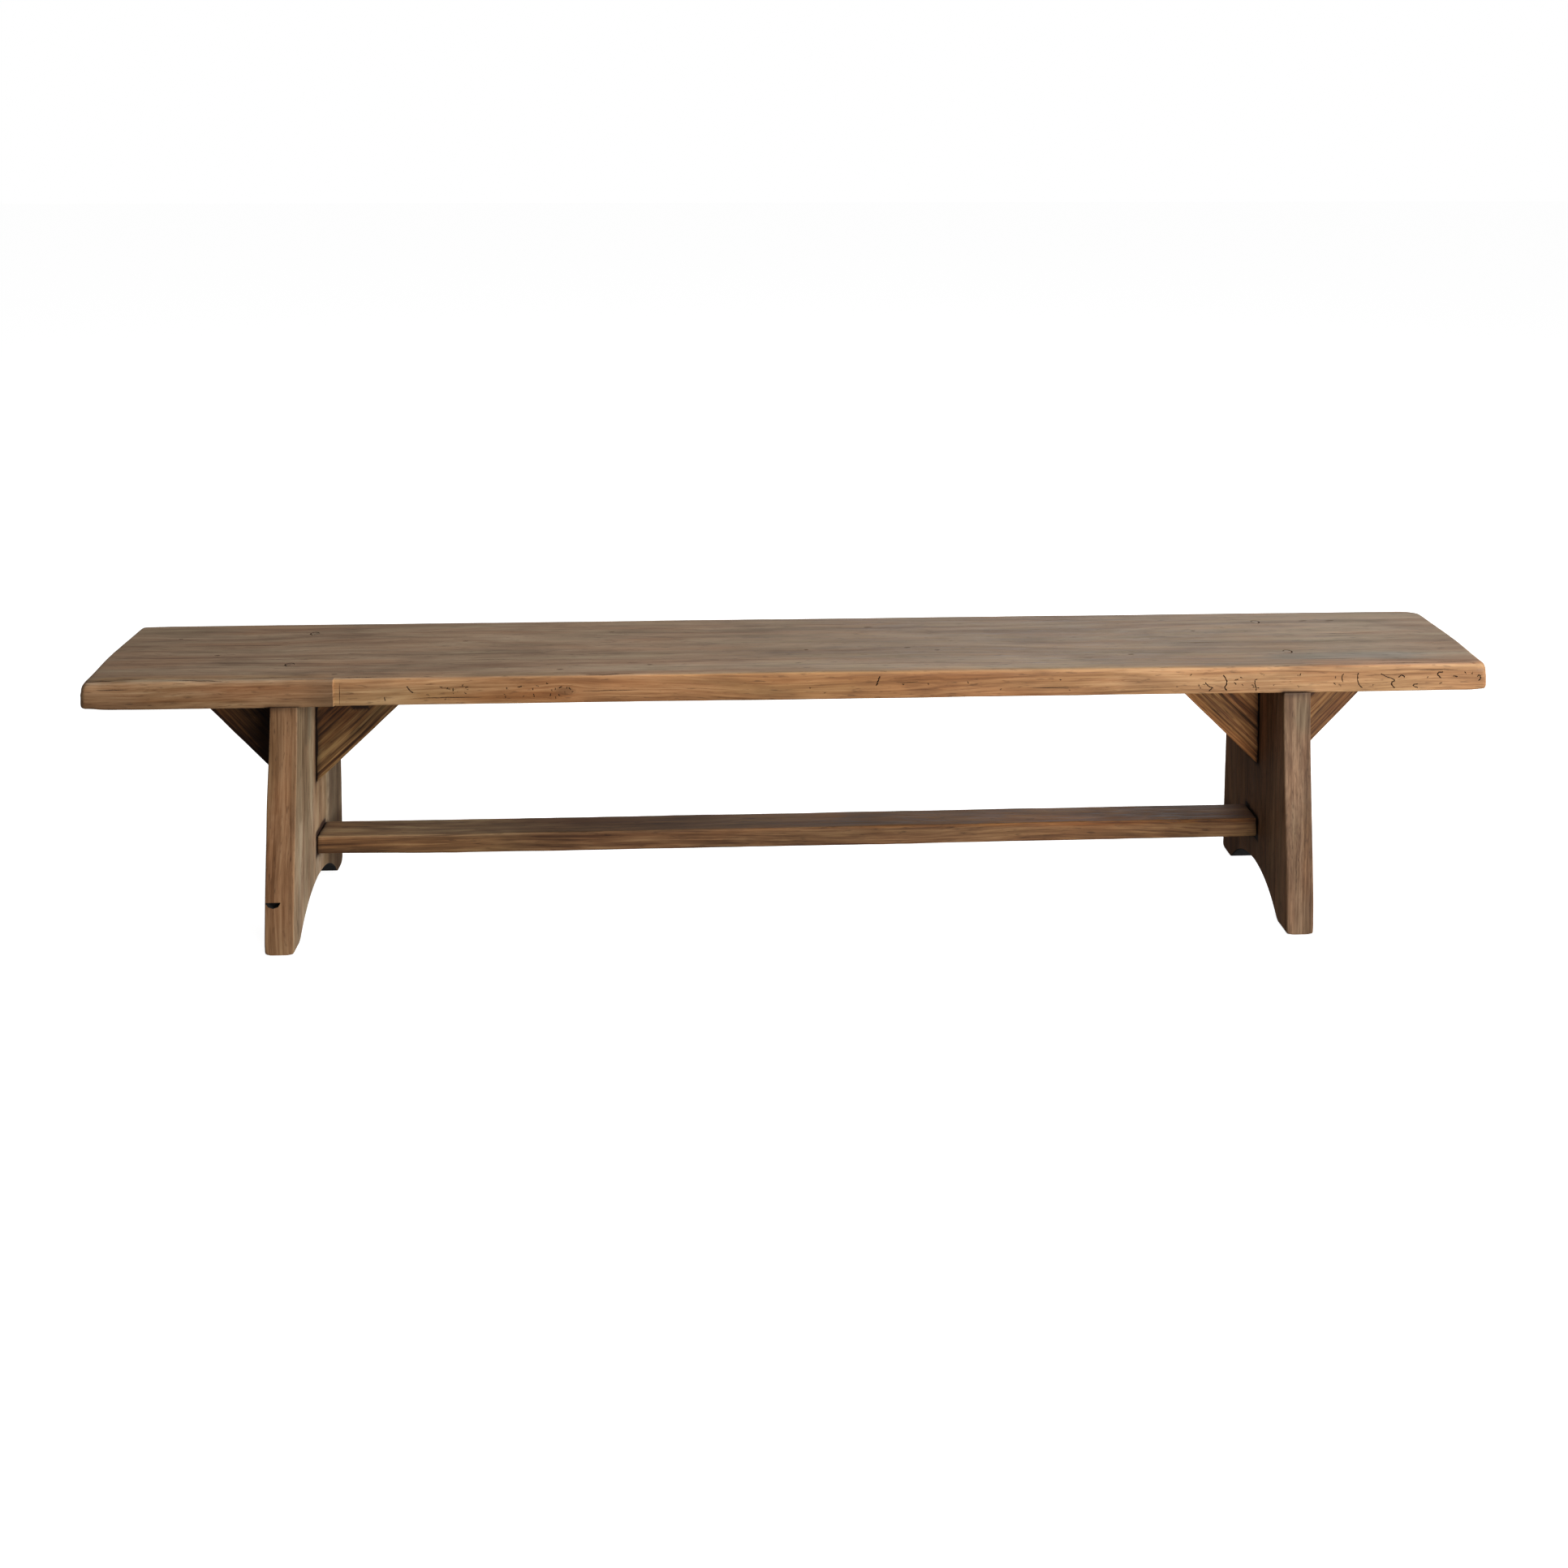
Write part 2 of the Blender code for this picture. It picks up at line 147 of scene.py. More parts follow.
def noise(places, cell, seed):
    """Smooth noise from -1 to 1 at places, with cells of the given size along each axis."""
    scaled = places / np.asarray(cell, float)
    base = np.floor(scaled)
    part = scaled - base
    part = part * part * (3 - 2 * part)
    total = np.zeros(len(places))
    for corner in product((0, 1), repeat=3):
        corner = np.array(corner)
        weight = np.prod(np.where(corner, part, 1 - part), axis=1)
        total += weight * scattered(base + corner, seed)
    return total


def eased(values, low, high):
    """A smooth step from 0 at low to 1 at high."""
    share = np.clip((values - low) / (high - low), 0, 1)
    return share * share * (3 - 2 * share)


# Meshes

def linked(name, data):
    """A new object in the scene, for a mesh, a light or a camera."""
    obj = bpy.data.objects.new(name, data)
    bpy.context.scene.collection.objects.link(obj)
    return obj


def mesh_object(name, points, faces):
    mesh = bpy.data.meshes.new(name)
    mesh.from_pydata([tuple(point) for point in points], [], [tuple(face) for face in faces])
    mesh.update()
    return linked(name, mesh)


def vectors(items, name):
    """A row of three values for each of a mesh's points or faces."""
    values = np.empty(len(items) * 3, np.float32)
    items.foreach_get(name, values)
    return values.reshape(-1, 3).astype(float)


def paint(mesh, name, values):
    """Keeps a share or a colour for each point, for the material to read."""
    kind, field = "FLOAT", "value"
    if values.ndim == 2:
        kind, field = "FLOAT_COLOR", "color"
        values = np.column_stack([values, np.ones(len(values))])
    attribute = mesh.attributes.new(name, kind, "POINT")
    attribute.data.foreach_set(field, values.astype(np.float32).ravel())


def box_lattice(counts):
    """The whole-number places on the surface of a box of cells, and its quads, facing out."""
    shape = tuple(count + 1 for count in counts)
    on_surface = np.zeros(shape, bool)
    for axis in range(3):
        for end in (0, -1):
            on_surface[(slice(None),) * axis + (end,)] = True
    places = np.argwhere(on_surface)
    index = np.zeros(shape, int)
    index[tuple(places.T)] = np.arange(len(places))
    quads = []
    for axis in range(3):
        for end in (0, counts[axis]):
            grid = np.take(index, end, axis=axis)
            quad = np.stack([grid[:-1, :-1], grid[1:, :-1], grid[1:, 1:], grid[:-1, 1:]], -1).reshape(-1, 4)
            if (axis == 1) != (end == 0):
                quad = quad[:, ::-1]
            quads.append(quad)
    return places, np.concatenate(quads)


def grid_lines(length, spacing, arris, extra=()):
    """Where the grid lines of one axis lie, centred on zero and closer together at the arrises."""
    half = length / 2
    near_end = arris * (np.arange(ARRIS_LINES) / ARRIS_LINES) ** 1.5
    count = max(2, round((length - 2 * arris) / spacing))
    middle = np.linspace(arris - half, half - arris, count + 1)
    lines = np.concatenate([near_end - half, middle, half - near_end, list(extra)])
    return np.unique(np.round(lines, 6))


def rounded_box(lines, arris):
    """A dense box with rounded arrises: points, how far each is on an arris, and quads.

    arris gives the radius at each point of the sharp box.
    """
    places, quads = box_lattice([len(line) - 1 for line in lines])
    sharp = np.stack([line[places[:, axis]] for axis, line in enumerate(lines)], 1)
    half = np.array([line[-1] for line in lines])
    radius = arris(sharp)[:, None]
    inner = np.clip(sharp, radius - half, half - radius)
    outward = sharp - inner
    outward /= np.linalg.norm(outward, axis=1, keepdims=True)
    on_arris = (1 - np.abs(outward).max(1)) / (1 - sqrt(0.5))
    return inner + outward * radius, np.clip(on_arris, 0, 1), quads


def wavy(along, seed):
    """A factor around 1 that changes slowly along the grain."""
    places = np.stack([along, np.zeros_like(along), np.zeros_like(along)], 1)
    slow, quick = (noise(places, (cell, 1, 1), seed + at) for at, cell in enumerate((0.11, 0.025)))
    return np.clip(1 + (0.3 * slow + 0.16 * quick), 0.5, 1.6)


def even_arris(width, seed):
    return lambda sharp: width * wavy(sharp[:, 0] + 3 * sharp[:, 1] + 5 * sharp[:, 2], seed)


def sunk(local, grain, seed):
    """How far the surface lies under its flat: raised grain, waves left by the plane, and small dents."""
    along, across = grain
    ridges = noise(local, (along, across, across), seed)
    ridges += 0.5 * noise(local, (along / 2, across * 0.45, across * 0.45), seed + 1)
    waves = noise(local, (0.24, 0.09, 0.09), seed + 2)
    dents = noise(local, (0.045, 0.03, 0.03), seed + 3)
    return 0.00013 * (ridges - 1.3) + 0.0002 * (waves - 0.9) + 0.0001 * (dents - 0.9)


def board(name, node, lines, arris, warp, grain, seed, deep):
    """A dense board warped to its place, worn, and kept inside its CAD box."""
    local, on_arris, quads = rounded_box(lines, arris)
    warped = warp(local)
    first, second, third, fourth = np.moveaxis(warped[quads], 1, 0)
    turned_in = (np.cross(third - first, fourth - second) * first).sum() < 0
    obj = mesh_object(name, warped, quads[:, ::-1] if turned_in else quads)
    mesh = obj.data
    outward = vectors(mesh.vertex_normals, "vector")
    points = vectors(mesh.vertices, "co") + outward * (deep * sunk(local, grain, seed))[:, None]
    points = np.clip(points, *np.array(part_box(node)))
    mesh.vertices.foreach_set("co", points.astype(np.float32).ravel())
    paint(mesh, "arris", on_arris)
    mesh.update()
    return obj


def skin(rings):
    """Points and faces of a closed shape through rings that have as many points each."""
    sides = len(rings[0])
    points = [point for ring in rings for point in ring]
    faces = [tuple(range(sides))[::-1], tuple(range(len(points) - sides, len(points)))]
    for row, step in product(range(len(rings) - 1), range(sides)):
        after = (step + 1) % sides
        faces.append(tuple(row * sides + at for at in (step, after, sides + after, sides + step)))
    return points, faces


def tube(path, radii, up):
    """A closed tube; radii are (across, along up) pairs, one for each point of the path."""
    path = [Vector(point) for point in path]
    up = Vector(up).normalized()
    angles = [2 * pi * step / TUBE_SIDES for step in range(TUBE_SIDES)]
    rings = []
    for at, place in enumerate(path):
        before, after = path[max(at - 1, 0)], path[min(at + 1, len(path) - 1)]
        wide = (after - before).cross(up).normalized() * radii[at][0]
        high = up * radii[at][1]
        rings.append([place + wide * cos(angle) + high * sin(angle) for angle in angles])
    return skin(rings)


def joined(name, shapes):
    """One object out of several (points, faces) shapes."""
    points, faces = [], []
    for some_points, some_faces in shapes:
        faces += [tuple(corner + len(points) for corner in face) for face in some_faces]
        points += some_points
    return mesh_object(name, points, faces)


def lathe(name, rings, sides, turn=0.0):
    """A closed shape from (z, radius, unevenness) rings, with the same whittled outline all the way up."""
    chance = random.Random(name)
    outline = [(turn + 2 * pi * step / sides, 1 - chance.uniform(0, 1)) for step in range(sides)]
    circles = []
    for z, radius, uneven in rings:
        reaches = [(angle, radius * (1 - uneven * share)) for angle, share in outline]
        circles.append([(reach * cos(angle), reach * sin(angle), z) for angle, reach in reaches])
    return mesh_object(name, *skin(circles))


def moved(obj, place, axis=None):
    """Moves a mesh that was made along +Z from the origin to a place, and turns +Z to an axis."""
    turn = axis.to_track_quat("Z", "Y").to_matrix().to_4x4() if axis else Matrix()
    obj.data.transform(Matrix.Translation(place) @ turn)
    return obj


def round_bar(name, start, end, radius):
    """A closed round bar between two places."""
    axis = end - start
    return moved(lathe(name, ((0, radius, 0), (axis.length, radius, 0)), HOLE_SIDES), start, axis)


def block(name, low, high):
    """A box between two corners, for joints that are hidden inside."""
    places, quads = box_lattice((1, 1, 1))
    return mesh_object(name, np.array(low) + places * np.array(high - low), quads)


def carve(obj, cutter, operation="DIFFERENCE"):
    """Cuts the cutter out of obj for good, or joins it on; cut faces take the second material slot."""
    bm = bmesh.new()
    bm.from_mesh(cutter.data)
    bmesh.ops.recalc_face_normals(bm, faces=bm.faces)
    bm.to_mesh(cutter.data)
    bm.free()
    if operation == "DIFFERENCE":
        cutter.data.polygons.foreach_set("material_index", [1] * len(cutter.data.polygons))
    for mesh in (obj.data, cutter.data):
        while len(mesh.materials) < 2:
            mesh.materials.append(None)
    boolean = obj.modifiers.new("carve", "BOOLEAN")
    boolean.operation = operation
    boolean.solver = "MANIFOLD"
    boolean.object = cutter
    graph = bpy.context.evaluated_depsgraph_get()
    made = bpy.data.meshes.new_from_object(obj.evaluated_get(graph))
    obj.modifiers.clear()
    obj.data = made
    bpy.data.objects.remove(cutter)


def carve_upright_hole(obj, middle, bottom, top, radius):
    start, end = (Vector((middle.x, middle.y, z)) for z in (bottom, top))
    carve(obj, round_bar("hole", start, end, radius))


# Looks of the pieces

def blended(points, pairs):
    """A colour factor for each point, out of pairs of shares and a colour factor."""
    tint = np.ones((len(points), 3))
    for share, factor in pairs:
        tint *= 1 + share[:, None] * (np.array(factor) - 1)
    return tint


def tint_from_patches(points, patches):
    """A colour factor for each point out of patches of stain, painted shade and painted light; each has its
    start, end and softness along x, y and z, and a colour factor.
    """
    ragged = noise(points, (0.045, 0.009, 0.009), 77)
    pairs = []
    for *spans, factor in patches:
        low, high, soft = np.array(spans).T
        outside = np.maximum(0, np.maximum(low - points, points - high)) / soft
        distance = np.linalg.norm(outside, axis=1)
        pairs.append((1 - eased(distance + 0.3 * ragged * (distance > 0), 0, 1), factor))
    return blended(points, pairs)


def dirt_and_shade_beside(points, neighbour):
    """A dark seam of dirt along a neighbour, and beyond it a softer darkened band that is painted shade; a
    leg leans inside its box.
    """
    low, high = np.array(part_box(neighbour))
    beyond = np.maximum(0, np.maximum(low - points, points - high))
    leg, _, part = neighbour.partition("_")
    if part == "leg":
        beyond[:, 0] = np.abs(points[:, 0] - leg_middle(leg, points[:, 2])) - leg_thickness(leg) / 2
    distance = np.linalg.norm(np.maximum(0, beyond), axis=1)
    strength = 0.8 if neighbour == "seat_plank" else 1.9
    seam = strength * (1 - eased(distance + 0.0012 * noise(points, (0.012,) * 3, 5), *SEAM_EDGE))
    # The seam is dirt in the joint; the band beyond it is painted shade between the parts
    return np.maximum(seam, 0.7 * (1 - eased(distance, 0, SHADE_BAND_REACH)))


def finish_piece(obj, node, materials, neighbours=(), tinted=None, soiled_and_shaded=None):
    """Shades and tints a piece with its stain marks and its painted shade and painted light, marks the dirt
    and the painted shade on it, and puts it in the CAD node's place.
    """
    mesh = obj.data
    kept = np.empty(len(mesh.polygons), np.int32)
    mesh.polygons.foreach_get("material_index", kept)
    mesh.materials.clear()
    for material in materials:
        mesh.materials.append(material)
    mesh.polygons.foreach_set("material_index", kept)
    mesh.shade_smooth()
    mesh.set_sharp_from_angle(angle=radians(SHARP_ANGLE))
    points = vectors(mesh.vertices, "co")
    tint = tint_from_patches(points, STAINS_AND_PAINTED_LIGHT.get(node, ()))
    paint(mesh, "tint", tint * tinted(points) if tinted else tint)
    dirt_and_shade = soiled_and_shaded(points) if soiled_and_shaded else np.zeros(len(points))
    for neighbour in neighbours:
        dirt_and_shade = np.maximum(dirt_and_shade, dirt_and_shade_beside(points, neighbour))
    # The dirt attribute also carries painted shade: the band beside each neighbour and the pegs' sides
    paint(mesh, "dirt_and_shade", dirt_and_shade)
    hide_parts(node)
    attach(obj, BODY)


# Places worked out from the frame

SEAT_LOW, SEAT_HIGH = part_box("seat_plank")
SEAT_LENGTH = SEAT_HIGH.x - SEAT_LOW.x
SEAT_THICKNESS = SEAT_HIGH.z - SEAT_LOW.z
SEAT_FRONT = SEAT_LOW.y + SEAT_STEP_PROUD
SEAT_DEPTH = SEAT_HIGH.y - SEAT_FRONT
LEG_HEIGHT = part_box("left_leg")[1].z


def leg_thickness(leg):
    low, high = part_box(f"{leg}_leg")
    return high.x - low.x - LEG_LEAN


def leg_middle(leg, z):
    """The middle of a leg's thickness in x; the CAD box holds the thickness and the lean."""
    low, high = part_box(f"{leg}_leg")
    at_floor = low.x if leg == "left" else high.x
    return at_floor - SIDES[leg] * (leg_thickness(leg) / 2 + SEEN_LEAN[leg] * z / LEG_HEIGHT)


def leg_face(leg, facing, z):
    return leg_middle(leg, z) + SIDES[leg] * FACINGS[facing] * leg_thickness(leg) / 2


def nail_line(leg, facing, into):
    """Where a nail's head starts and its point ends; heads are on the brace's sloping side."""
    low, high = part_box(f"{leg}_{facing}_{into}_nail")
    middle = (low + high) / 2
    if into == "seat":
        return Vector((middle.x, middle.y, low.z)), Vector((middle.x, middle.y, high.z))
    away = SIDES[leg] * FACINGS[facing]
    head, point = (high.x, low.x) if away > 0 else (low.x, high.x)
    return Vector((head, middle.y, middle.z)), Vector((point, middle.y, middle.z))


# Stain marks, and a few patches of painted shade and painted light: start, end and softness along x, y and z,
# and a factor for the colour

def front(depth, softness):
    """From before the seat to a depth behind its front face."""
    return (-1, SEAT_FRONT + depth, softness)


ALL = (-1, 1, 1)
TOP = (SEAT_HIGH.z - 0.002, 1, 0.001)
EDGE = front(0.002, 0.006)
LEG_FRONT = (-1, -0.12, 0.02)
LEFT_INNER = (-0.82, 0, 0.01)
STAINS_AND_PAINTED_LIGHT = {
    "seat_plank": (
        ((0.15, 0.62, 0.5), ALL, TOP, (0.78, 0.77, 0.72)),
        ((0.95, 1.2, 0.15), ALL, TOP, (1.04, 1.1, 1.17)),
        ((-1.1, -0.76, 0.03), front(0.016, 0.014), TOP, (1.14, 1.04, 0.9)),
        ((-0.72, 0.6, 0.1), front(0.01, 0.012), TOP, (1.12, 1.06, 0.98)),
        ((-0.2, 0.3, 0.3), front(0.05, 0.035), TOP, (1.23, 1.28, 1.34)),
        ((-0.08, 0.12, 0.15), front(0.003, 0.006), ALL, (0.96, 0.96, 0.91)),
        ((0.7, 1.2, 0.4), front(0.003, 0.006), ALL, (1.11, 1.22, 1.33)),
        ((0.84, 1, 0.09), (-0.105, -0.085, 0.014), TOP, (0.84, 0.95, 1.1)),
        ((0.88, 1.12, 0.1), (-1, -0.124, 0.01), TOP, (1.06, 0.86, 0.76)),
        ((-1.13, -1.08, 0.04), front(0.01, 0.008), TOP, (0.66, 0.6, 0.54)),
        ((-1.02, -0.84, 0.1), EDGE, (0.434, 0.44, 0.003), (0.8, 0.7, 0.62)),
        ((-1, -0.9, 0.06), EDGE, (0.417, 0.421, 0.003), (0.82, 0.7, 0.6)),
        ((-0.5, -0.4, 0.06), EDGE, (0.414, 0.422, 0.006), (0.78, 0.68, 0.56)),
        ((-0.6, -0.54, 0.04), EDGE, (0.414, 0.424, 0.006), (0.88, 0.82, 0.74)),
    ),
    "left_leg": (
        # Painted shadow of the seat: the rear of the left leg's inner face is darkened where the seat shades
        # it
        (LEFT_INNER, (0.075, 1, 0.03), ALL, (0.52, 0.51, 0.5)),
        (LEFT_INNER, (-0.13, 0.02, 0.03), (0, 0.17, 0.06), (1.25, 1.31, 1.43)),
        (LEFT_INNER, (0.03, 1, 0.02), (0, 0.095, 0.03), (0.76, 0.66, 0.56)),
        (LEFT_INNER, (-0.024, 0.04, 0.012), (0.145, 0.29, 0.03), (0.8, 0.7, 0.6)),
        (LEFT_INNER, (-0.09, -0.066, 0.018), (0.335, 0.39, 0.03), (0.7, 0.74, 0.76)),
        ((-1, -0.846, 0.005), LEG_FRONT, (0.095, 0.17, 0.04), (0.76, 0.7, 0.64)),
        ((-0.84, -0.832, 0.004), LEG_FRONT, (0.27, 0.38, 0.06), (0.84, 0.77, 0.7)),
        ((-1, -0.82, 0.01), LEG_FRONT, (0, 0.24, 0.08), (1.1, 1.07, 1.06)),
    ),
    "right_leg": (
        ((0, 0.82, 0.01), (0.05, 1, 0.05), ALL, (1.12, 1.1, 1.02)),
        ((0, 0.84, 0.01), (0.09, 1, 0.02), (0, 0.09, 0.02), (0.55, 0.46, 0.4)),
        ((0.832, 0.84, 0.005), LEG_FRONT, (0.09, 0.18, 0.05), (0.9, 0.8, 0.7)),
        ((0.82, 0.835, 0.008), LEG_FRONT, (0.35, 0.385, 0.02), (0.84, 0.95, 0.98)),
    ),
    "right_inner_brace": (((0.799, 1, 0.006), ALL, ALL, (0.22, 0.18, 0.15)),),
    # Painted shadow of the left leg: the left outer brace darkens towards the leg
    "left_outer_brace": (((-0.875, 0, 0.055), ALL, ALL, (0.3, 0.26, 0.22)),),
    "left_inner_brace": (
        ((-0.74, -0.713, 0.004), ALL, (0.356, 0.39, 0.002), (0.16, 0.12, 0.1)),
        ((-0.82, -0.755, 0.02), ALL, (0.35, 0.41, 0.02), (0.88, 0.76, 0.66)),
    ),
    "stretcher": (
        # Painted light: the rail's top is paler at the left end, lifting the shade that the seat and left leg
        # cast there
        ((-1, -0.6, 0.25), ALL, (0.13, 1, 0.002), (1.45, 1.68, 2.00)),
        ((0.2, 1, 0.3), ALL, (0.132, 1, 0.002), (1.06, 0.88, 0.6)),
        ((-1, -0.62, 0.25), ALL, ALL, (1.2, 1.25, 1.2)),
        ((-0.1, 0.15, 0.25), ALL, ALL, (0.88, 0.87, 0.86)),
        ((0.5, 1, 0.25), ALL, ALL, (1.16, 1.13, 1.06)),
    ),
}

# Bands of grain in the braces: start and end, measured from the sloping side, and a factor for the colour
DARK_LINE = (0.5, 0.42, 0.34)
BRACE_BANDS = {
    ("left", "inner"): (
        (0, 0.0135, (1.24, 1.22, 1.2)), (0.015, 0.0185, (0.58, 0.52, 0.46)),
        (0.0215, 0.031, (1.32, 1.3, 1.26)), (0.037, 1, (0.98, 0.88, 0.78)),
    ),
    ("right", "inner"): (
        (0.015, 0.017, DARK_LINE), (0.025, 0.0265, DARK_LINE), (0.033, 0.035, DARK_LINE),
        (0.042, 0.044, DARK_LINE), (0.054, 0.056, (0.55, 0.46, 0.38)), (0, 0.013, (1.08, 1.02, 0.94)),
    ),
    ("right", "outer"): ((0.018, 0.02, (0.7, 0.62, 0.55)), (0.033, 0.035, (0.66, 0.58, 0.5))),
    ("left", "outer"): ((0, 0.014, (1.25, 1.18, 1.1)),),
}


# Seat

def seat_warp(local):
    along, across, through = local.T
    corner = np.where((along > 0) & (across > 0), REAR_RIGHT_CORNER_RADIUS, SEAT_CORNER_RADIUS)
    from_end = np.clip(SEAT_LENGTH / 2 - np.abs(along), 0, corner)
    inset = corner - np.sqrt(corner**2 - (corner - from_end) ** 2)
    y = across * (1 - inset / (SEAT_DEPTH / 2)) + (SEAT_FRONT + SEAT_HIGH.y) / 2
    at_front = eased(-across, SEAT_DEPTH / 2 - 0.03, SEAT_DEPTH / 2 - 0.01)
    y = y - SEAT_STEP_PROUD * at_front * (along < SEAT_STEP_X)
    skew = SEAT_END_SKEW * np.maximum(0, 2 * along / SEAT_LENGTH)
    x = along - skew * (SEAT_DEPTH / 2 - SEAT_CORNER_RADIUS - across) / SEAT_DEPTH
    return np.stack([x, y, through + (SEAT_LOW.z + SEAT_HIGH.z) / 2], 1)


def seat_arris(sharp):
    """Rounder at the front, most of all on the old edge at the left, and at the ends' front corners."""
    along, across, through = sharp.T
    front = eased(-across, 0, SEAT_DEPTH / 2)
    top = eased(through, -SEAT_THICKNESS / 2, SEAT_THICKNESS / 2)
    old = 1 - eased(along, SEAT_STEP_X - STEP_SOFTNESS, SEAT_STEP_X + STEP_SOFTNESS)
    front_radius = 0.0028 + 0.0045 * top + 0.004 * old * top
    long_radius = 0.0022 + (front_radius - 0.0022) * front
    left_end = 0.005 + front * (0.004 + 0.0085 * top)
    right_end = 0.004 + front * (0.003 + 0.0055 * top)
    end_radius = np.where(along < 0, left_end, right_end)
    end_reach = np.where(along < 0, 0.06, 0.032)
    end = eased(np.abs(along), SEAT_LENGTH / 2 - end_reach, SEAT_LENGTH / 2 - 0.008)
    radius = long_radius + (end_radius - long_radius) * end
    return radius * wavy(along + 3 * np.sign(across) + 5 * np.sign(through), 3)


def gouge(start, direction, length, width, depth, up, wander, seed, steps):
    """A tapering crack or pit, centred on the surface, that runs along direction and wanders across it."""
    chance = random.Random(seed)
    direction = Vector(direction).normalized()
    side = direction.cross(Vector(up)).normalized()
    path, radii = [], []
    drift = 0
    for step in range(steps + 1):
        share = step / steps
        drift += chance.uniform(-1, 1) * wander
        taper = max(0.12, sin(pi * share)) ** 0.6
        path.append(Vector(start) + direction * length * (share - 0.5) + side * drift)
        radii.append((width / 2 * taper, depth * taper))
    return tube(path, radii, up)


# Marks: x, then y (how far behind the edge for fissures, z for those in the front edge), and the length
TOP_PITS = (
    (-0.384, -0.113, 0.012), (-0.313, 0.08, 0.01), (-0.24, -0.095, 0.009), (-0.743, -0.122, 0.01),
    (0.135, 0.089, 0.016), (0.191, -0.025, 0.012), (0.24, -0.04, 0.01), (0.913, 0.095, 0.016),
    (0.961, 0.094, 0.018), (-0.96, -0.02, 0.01), (-0.56, 0.04, 0.009), (0.56, -0.075, 0.011),
    (0.02, -0.03, 0.008), (0.7, 0.045, 0.009), (-1.05, 0.07, 0.009),
)
TOP_CRACKS = (
    (-0.215, 0.098, 0.12), (-0.06, 0.103, 0.07), (0.08, 0.108, 0.11), (0.33, 0.062, 0.13),
    (0.47, 0.115, 0.09), (-0.62, 0.09, 0.1), (-0.9, 0.03, 0.14), (0.7, -0.02, 0.12),
    (0.88, -0.112, 0.09), (0.96, 0.02, 0.13), (-0.5, -0.06, 0.08),
)
FRONT_CRACKS = (
    (1.05, 0.44, 0.064), (-1.085, 0.438, 0.05), (-0.3, 0.425, 0.09), (0.18, 0.431, 0.03),
    (-0.56, 0.417, 0.11), (0.42, 0.419, 0.08),
)
TOP_FISSURES = (
    (-1.105, 0.01, 0.08), (-1.06, 0.016, 0.05), (-0.96, 0.009, 0.09), (-0.86, 0.012, 0.11),
    (-0.7, 0.006, 0.06), (-0.3, 0.007, 0.08), (1.08, 0.012, 0.06), (0.99, 0.009, 0.08),
)
# The paths of worm galleries in the front edge, as (x, z) in tenths of a millimetre
GALLERIES = (
    ((6650, 4238), (6690, 4188), (6780, 4148)), ((6710, 4096), (6750, 4137)),
    ((6930, 4358), (7000, 4233), (6970, 4159), (7010, 4100)), ((7130, 4272), (7180, 4288)),
    ((7220, 4321), (7260, 4300)), ((7120, 4231), (7160, 4198)),
    ((7500, 4284), (7460, 4235), (7480, 4151), (7480, 4090)), ((7490, 4132), (7530, 4137)),
    ((8770, 4203), (8800, 4172)), ((8850, 4185), (8890, 4151)), ((8930, 4355), (8900, 4297), (8920, 4222)),
    ((9170, 4364), (9170, 4214), (9250, 4113)), ((9550, 4350), (9640, 4299), (9790, 4242)),
    ((9780, 4231), (9730, 4173), (9790, 4100)), ((9840, 4288), (9900, 4317), (9940, 4278)),
    ((10170, 4170), (10090, 4143), (10170, 4100)), ((10580, 4364), (10490, 4337), (10550, 4264)),
    ((10750, 4295), (10820, 4281)), ((11160, 4277), (11190, 4298), (11210, 4251), (11170, 4215)),
    ((-6240, 4355), (-6180, 4280), (-6140, 4260)), ((-6600, 4187), (-6590, 4125)),
    ((-5710, 4342), (-5680, 4332)), ((-5510, 4320), (-5510, 4270)), ((-5310, 4327), (-5270, 4336)),
    ((-4230, 4202), (-4220, 4157)), ((-4480, 4325), (-4420, 4334)), ((-3830, 4300), (-3780, 4322)),
    ((-3840, 4190), (-3790, 4160)), ((-3670, 4310), (-3640, 4270)),
    ((1330, 4420), (1310, 4370), (1270, 4265)),
)
# Short galleries strewn over the front edge: from and to in x, and how many
SPECKS = ((0.62, 1.12, 22), (-0.6, -0.52, 9), (-0.47, -0.36, 14), (-0.1, 0.5, 8))


def edge_at(x):
    """Where the seat's front face lies, on either side of its step."""
    return SEAT_LOW.y if x < SEAT_STEP_X else SEAT_FRONT


